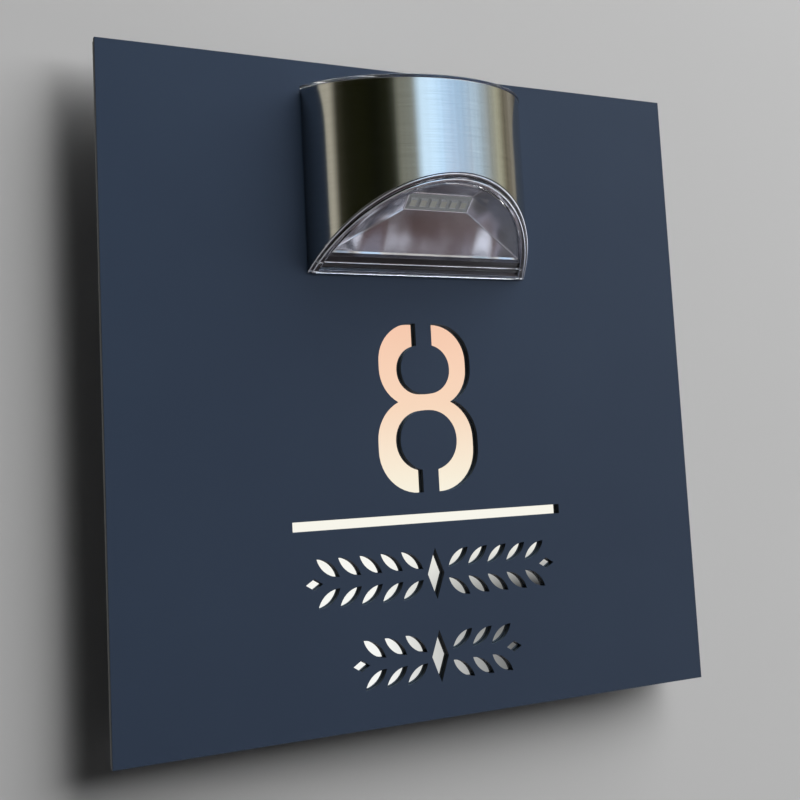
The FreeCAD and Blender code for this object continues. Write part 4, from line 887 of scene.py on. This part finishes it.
# %% [markdown]
# ## Wall and floor
# The sign stands off a pale wall, and its shadow falls to the lower left, as the light comes from the
# upper right. The wall is one plane. From behind it is see-through, so that the back of the sign can
# be looked at, and it lets first-bounce light through, so that the back isn't in the dark. The floor has
# a dull paint and a glow that only the camera sees, so it looks pale near and far without clipping to
# white, and it throws little light back, which keeps the shadow on the wall deep.

# %% Wall and floor
WALL_PALE = (0.62, 0.62, 0.62)
FLOOR_PALE = (0.17, 0.17, 0.17)
FLOOR_BOUNCE = (0.06, 0.06, 0.06)
FLOOR_GLOW = 0.42
WALL_SIZE = 6.0
FLOOR_DROP = 1.1
CLOUD_SIZE = 0.5
CLOUD_LIFT = 1.05
FIRST_BOUNCE = 1.5


def stage_material(name, is_wall):
    """Matt paint that metal doesn't show; the wall is see-through from behind and the floor glows."""
    material, tree, shader = start_finish(name, Roughness=0.9, Specular_IOR_Level=0.0)
    cloud = noise(tree, CLOUD_SIZE)
    paint = WALL_PALE if is_wall else FLOOR_PALE
    pale = tones(tree, cloud, (0.3, paint), (0.7, tuple(CLOUD_LIFT * share for share in paint)))
    rays = add(tree, "ShaderNodeLightPath")
    passing = rays.outputs["Is Glossy Ray"]
    if not is_wall:
        pale = mix_colour(tree, rays.outputs["Is Camera Ray"], FLOOR_BOUNCE, pale)
        shader.inputs["Emission Color"].default_value = (1, 1, 1, 1)
        glow = between(tree, rays.outputs["Is Camera Ray"], 0.0, FLOOR_GLOW)
        wire(tree, glow, shader.inputs["Emission Strength"])
    wire(tree, pale, shader.inputs["Base Color"])
    if is_wall:
        back = add(tree, "ShaderNodeNewGeometry").outputs["Backfacing"]
        early = compute(tree, "LESS_THAN", rays.outputs["Ray Depth"], FIRST_BOUNCE)
        lighting = compute(tree, "MAXIMUM", rays.outputs["Is Diffuse Ray"], rays.outputs["Is Shadow Ray"])
        for other in (back, compute(tree, "MULTIPLY", lighting, early)):
            passing = compute(tree, "MAXIMUM", passing, other)
    clear = add(tree, "ShaderNodeBsdfTransparent")
    blend_shaders(tree, passing, shader, clear)
    return material


def stage_plane(name, corners, material):
    """One flat face of the stage."""
    mesh = bpy.data.meshes.new(name)
    mesh.from_pydata(corners, [], [tuple(range(len(corners)))])
    mesh.materials.append(material)
    plane = bpy.data.objects.new(name, mesh)
    bpy.context.scene.collection.objects.link(plane)
    return plane


half = WALL_SIZE / 2
stage_plane("wall", [(-half, 0, -FLOOR_DROP), (half, 0, -FLOOR_DROP), (half, 0, half), (-half, 0, half)],
            stage_material("wall_paint", True))
stage_plane("floor", [(-half, -half, -FLOOR_DROP), (half, -half, -FLOOR_DROP), (half, half, -FLOOR_DROP),
                      (-half, half, -FLOOR_DROP)], stage_material("floor_paint", False))
print("wall and floor made")

# %% [markdown]
# ## World
# Diffuse rays meet an even soft light, weak in front, so that the shadow stays deep, and stronger
# behind, so that the back can be looked at. Metal and glass need something to reflect, so for them
# the world is a set of soft cards, as a photographer would stand round a shiny lamp: upright cards
# all round, one low warm card where the mirror sheet looks, and a ground. The ground has its own tones
# where the folded tray looks, with a bright patch in their right part, and is plain grey in the other
# directions. Camera rays meet plain pale grey.

# %% Cards for reflections
SOFT_FRONT = 0.006
SOFT_BACK = 0.5
BEHIND = (0.0, 0.15)
BACKGROUND = (0.8, 0.8, 0.8)
UPRIGHT_CARDS = (
    # degrees from straight ahead towards the right, colour of the upright cards
    (-180, (0.6, 0.6, 0.6)), (-150, (0.45, 0.45, 0.45)), (-141, (0.02, 0.03, 0.05)),
    (-136, (0.5, 0.49, 0.42)), (-92, (0.52, 0.5, 0.42)), (-86, (0.03, 0.03, 0.018)),
    (-76, (0.01, 0.011, 0.004)), (-60, (0.008, 0.009, 0.002)),
    (-48, (0.005, 0.006, 0.002)), (-36, (0.014, 0.016, 0.007)), (-31, (0.05, 0.055, 0.04)),
    (-27, (0.25, 0.26, 0.22)), (-13, (0.29, 0.31, 0.28)), (-7, (0.9, 1.2, 1.5)), (6, (0.92, 1.27, 1.65)),
    (19, (0.65, 0.98, 1.4)), (33, (0.5, 0.78, 1.12)), (50, (0.62, 0.81, 1.0)), (66, (0.38, 0.41, 0.4)),
    (78, (0.53, 0.53, 0.4)), (89, (0.17, 0.15, 0.11)), (103, (0.32, 0.3, 0.25)), (118, (0.08, 0.075, 0.07)),
    (150, (0.45, 0.45, 0.45)), (180, (0.6, 0.6, 0.6)),
)
WARM_CARD = (
    # degrees above the horizon, colour of the low card that the mirror shows
    (-16, (1.04, 1.07, 1.1)), (-5, (1.07, 1.09, 1.06)), (-2, (1.08, 1.07, 0.98)), (-0.5, (1.08, 1.0, 0.83)),
    (3, (1.08, 0.8, 0.61)), (9, (1.06, 0.62, 0.45)),
)
UNDERFOOT = (
    # degrees above the horizon, colour of the ground that the reflector shows
    (-90, (0.03, 0.03, 0.036)), (-82, (0.05, 0.05, 0.06)), (-76, (0.2, 0.19, 0.24)), (-70, (0.34, 0.33, 0.4)),
    (-65, (0.17, 0.13, 0.145)), (-56, (0.13, 0.085, 0.08)), (-44, (0.09, 0.057, 0.053)),
    (-38, (0.05, 0.04, 0.04)), (-31, (0.1, 0.08, 0.08)), (-26, (1.2, 1.22, 1.3)), (-18, (1.2, 1.22, 1.3)),
    (-16, (0.1, 0.1, 0.11)),
)
UNDERFOOT_RIGHT = (1.1, 1.15, 1.3)
PLAIN_GROUND = (
    # degrees above the horizon, colour of the ground in all other directions
    (-90, (0.03, 0.03, 0.036)), (-78, (0.06, 0.06, 0.065)), (-66, (0.22, 0.22, 0.23)),
    (-16, (0.4, 0.4, 0.41)),
)
print("cards:", len(UPRIGHT_CARDS), "upright,", len(WARM_CARD), "warm,", len(UNDERFOOT), "ground")

# %% [markdown]
# A direction becomes two angles in degrees: the turn from straight ahead of the sign towards the
# right, and the climb above the horizon. Cards and ground are colour ramps over one of them, and a
# window keeps a card to its own stretch. Its numbers are where it starts, where it ends and how soft
# its sides are.

# %% Angles and windows
CARD_BOTTOM, CARD_TOP, CARD_SOFT = -14.0, 9.0, 1.0
GROUND_FADE = 3
MIRROR_SIDES = (14, 44, 2.0)
TRAY_SIDES = (4, 112, 8.0)
BRIGHT_SIDES = (67, 96, 5.0)
BRIGHT_CLIMB = (-62, -50)


def ramp_over(tree, angle, stops):
    """Colour ramp whose stops are given in degrees."""
    lowest, highest = stops[0][0], stops[-1][0]
    fac = between(tree, angle, 0.0, 1.0, lowest, highest)
    return tones(tree, fac, *[((degrees - lowest) / (highest - lowest), colour) for degrees, colour in stops])


def window(tree, angle, start, end, soft):
    """1 between two angles with soft sides, 0 outside."""
    rising = between(tree, angle, 0.0, 1.0, start - soft, start + soft)
    falling = between(tree, angle, 1.0, 0.0, end - soft, end + soft)
    return compute(tree, "MULTIPLY", rising, falling)


world = bpy.data.worlds.new("studio")
world.use_nodes = True
bpy.context.scene.world = world
tree = world.node_tree
direction = add(tree, "ShaderNodeTexCoord").outputs["Generated"]
right, inwards, up = axes_of(tree, direction)
turn = compute(tree, "DEGREES", compute(tree, "ARCTAN2", right, compute(tree, "MULTIPLY", inwards, -1.0)))
climb = compute(tree, "DEGREES", compute(tree, "ARCSINE", up))
print("world started")

# %% [markdown]
# The upright cards carry faint streaks, which is what gives brushed steel its fine upright lines. They
# grow stronger from 20 to 60 degrees towards the right. The warm card is dark in its low right corner.

# %% World shader
STREAKS_PER_DEGREE = 0.7
STREAK_STRENGTH = (1.3, 4.2)
STREAK_GROWTH = (20, 60)
DARK_TONE = (0.02, 0.022, 0.026)
DARK_FROM = (26, 33)
DARK_BELOW = (-5.5, -3.5)
streak_place = add(tree, "ShaderNodeCombineXYZ")
wire(tree, compute(tree, "MULTIPLY", turn, STREAKS_PER_DEGREE), streak_place.inputs["X"])
streaks = add(tree, "ShaderNodeTexNoise", Scale=1.0, Detail=3.0)
wire(tree, streak_place.outputs["Vector"], streaks.inputs["Vector"])
sway = compute(tree, "SUBTRACT", streaks.outputs["Fac"], 0.5)
strength = compute(tree, "MULTIPLY_ADD", sway, between(tree, turn, *STREAK_STRENGTH, *STREAK_GROWTH), 1.0)
upright = ramp_over(tree, turn, UPRIGHT_CARDS)
streaked = add(tree, "ShaderNodeVectorMath", operation="SCALE")
wire(tree, upright, streaked.inputs[0])
wire(tree, strength, streaked.inputs["Scale"])
warm = ramp_over(tree, climb, WARM_CARD)
dark_side = between(tree, turn, 0.0, 1.0, *DARK_FROM)
low_side = between(tree, climb, 1.0, 0.0, *DARK_BELOW)
low = mix_colour(tree, compute(tree, "MULTIPLY", dark_side, low_side), warm, DARK_TONE)
seen_by_mirror = compute(tree, "MULTIPLY", window(tree, turn, *MIRROR_SIDES),
                         window(tree, climb, CARD_BOTTOM, CARD_TOP, CARD_SOFT))
cards = mix_colour(tree, seen_by_mirror, streaked.outputs["Vector"], low)
ground = ramp_over(tree, climb, UNDERFOOT)
beside = compute(tree, "MULTIPLY", window(tree, turn, *BRIGHT_SIDES),
                 between(tree, climb, 0.0, 1.0, *BRIGHT_CLIMB))
ground = mix_colour(tree, beside, ground, UNDERFOOT_RIGHT)
plain_ground = ramp_over(tree, climb, PLAIN_GROUND)
ground = mix_colour(tree, window(tree, turn, *TRAY_SIDES), plain_ground, ground)
at_ground = between(tree, climb, 1.0, 0.0, CARD_BOTTOM - GROUND_FADE, CARD_BOTTOM)
cards = mix_colour(tree, at_ground, cards, ground)
rays = add(tree, "ShaderNodeLightPath")
reflected = compute(tree, "MAXIMUM", rays.outputs["Is Glossy Ray"], rays.outputs["Is Transmission Ray"])
soft = mix_colour(tree, between(tree, inwards, 0.0, 1.0, *BEHIND), (SOFT_FRONT,) * 3, (SOFT_BACK,) * 3)
plain = mix_colour(tree, rays.outputs["Is Camera Ray"], soft, BACKGROUND)
wire(tree, mix_colour(tree, reflected, plain, cards), tree.nodes["Background"].inputs["Color"])
print("world made")

# %% [markdown]
# ## Light
# One large soft lamp stands at the upper right, in front of the wall, and gives the shadow its
# direction. It doesn't show in reflections, because the cards already stand for it there.

# %% Key lamp
KEY_PLACE = Vector((2.5, -1.35, 2.3))
KEY_POWER = 345.0
KEY_SIZE = 4.4


def soft_lamp(name, spot, power, size):
    """Square area lamp that looks at the middle of the plaque."""
    lamp = bpy.data.objects.new(name, bpy.data.lights.new(name, "AREA"))
    lamp.data.energy = power
    lamp.data.size = size
    lamp.location = spot
    lamp.rotation_euler = (panel_middle - spot).to_track_quat("-Z", "Y").to_euler()
    lamp.visible_glossy = False
    bpy.context.scene.collection.objects.link(lamp)
    return lamp


soft_lamp("key_lamp", KEY_PLACE, KEY_POWER, KEY_SIZE)
print("lamp", round((KEY_PLACE - panel_middle).length, 2), "m away")
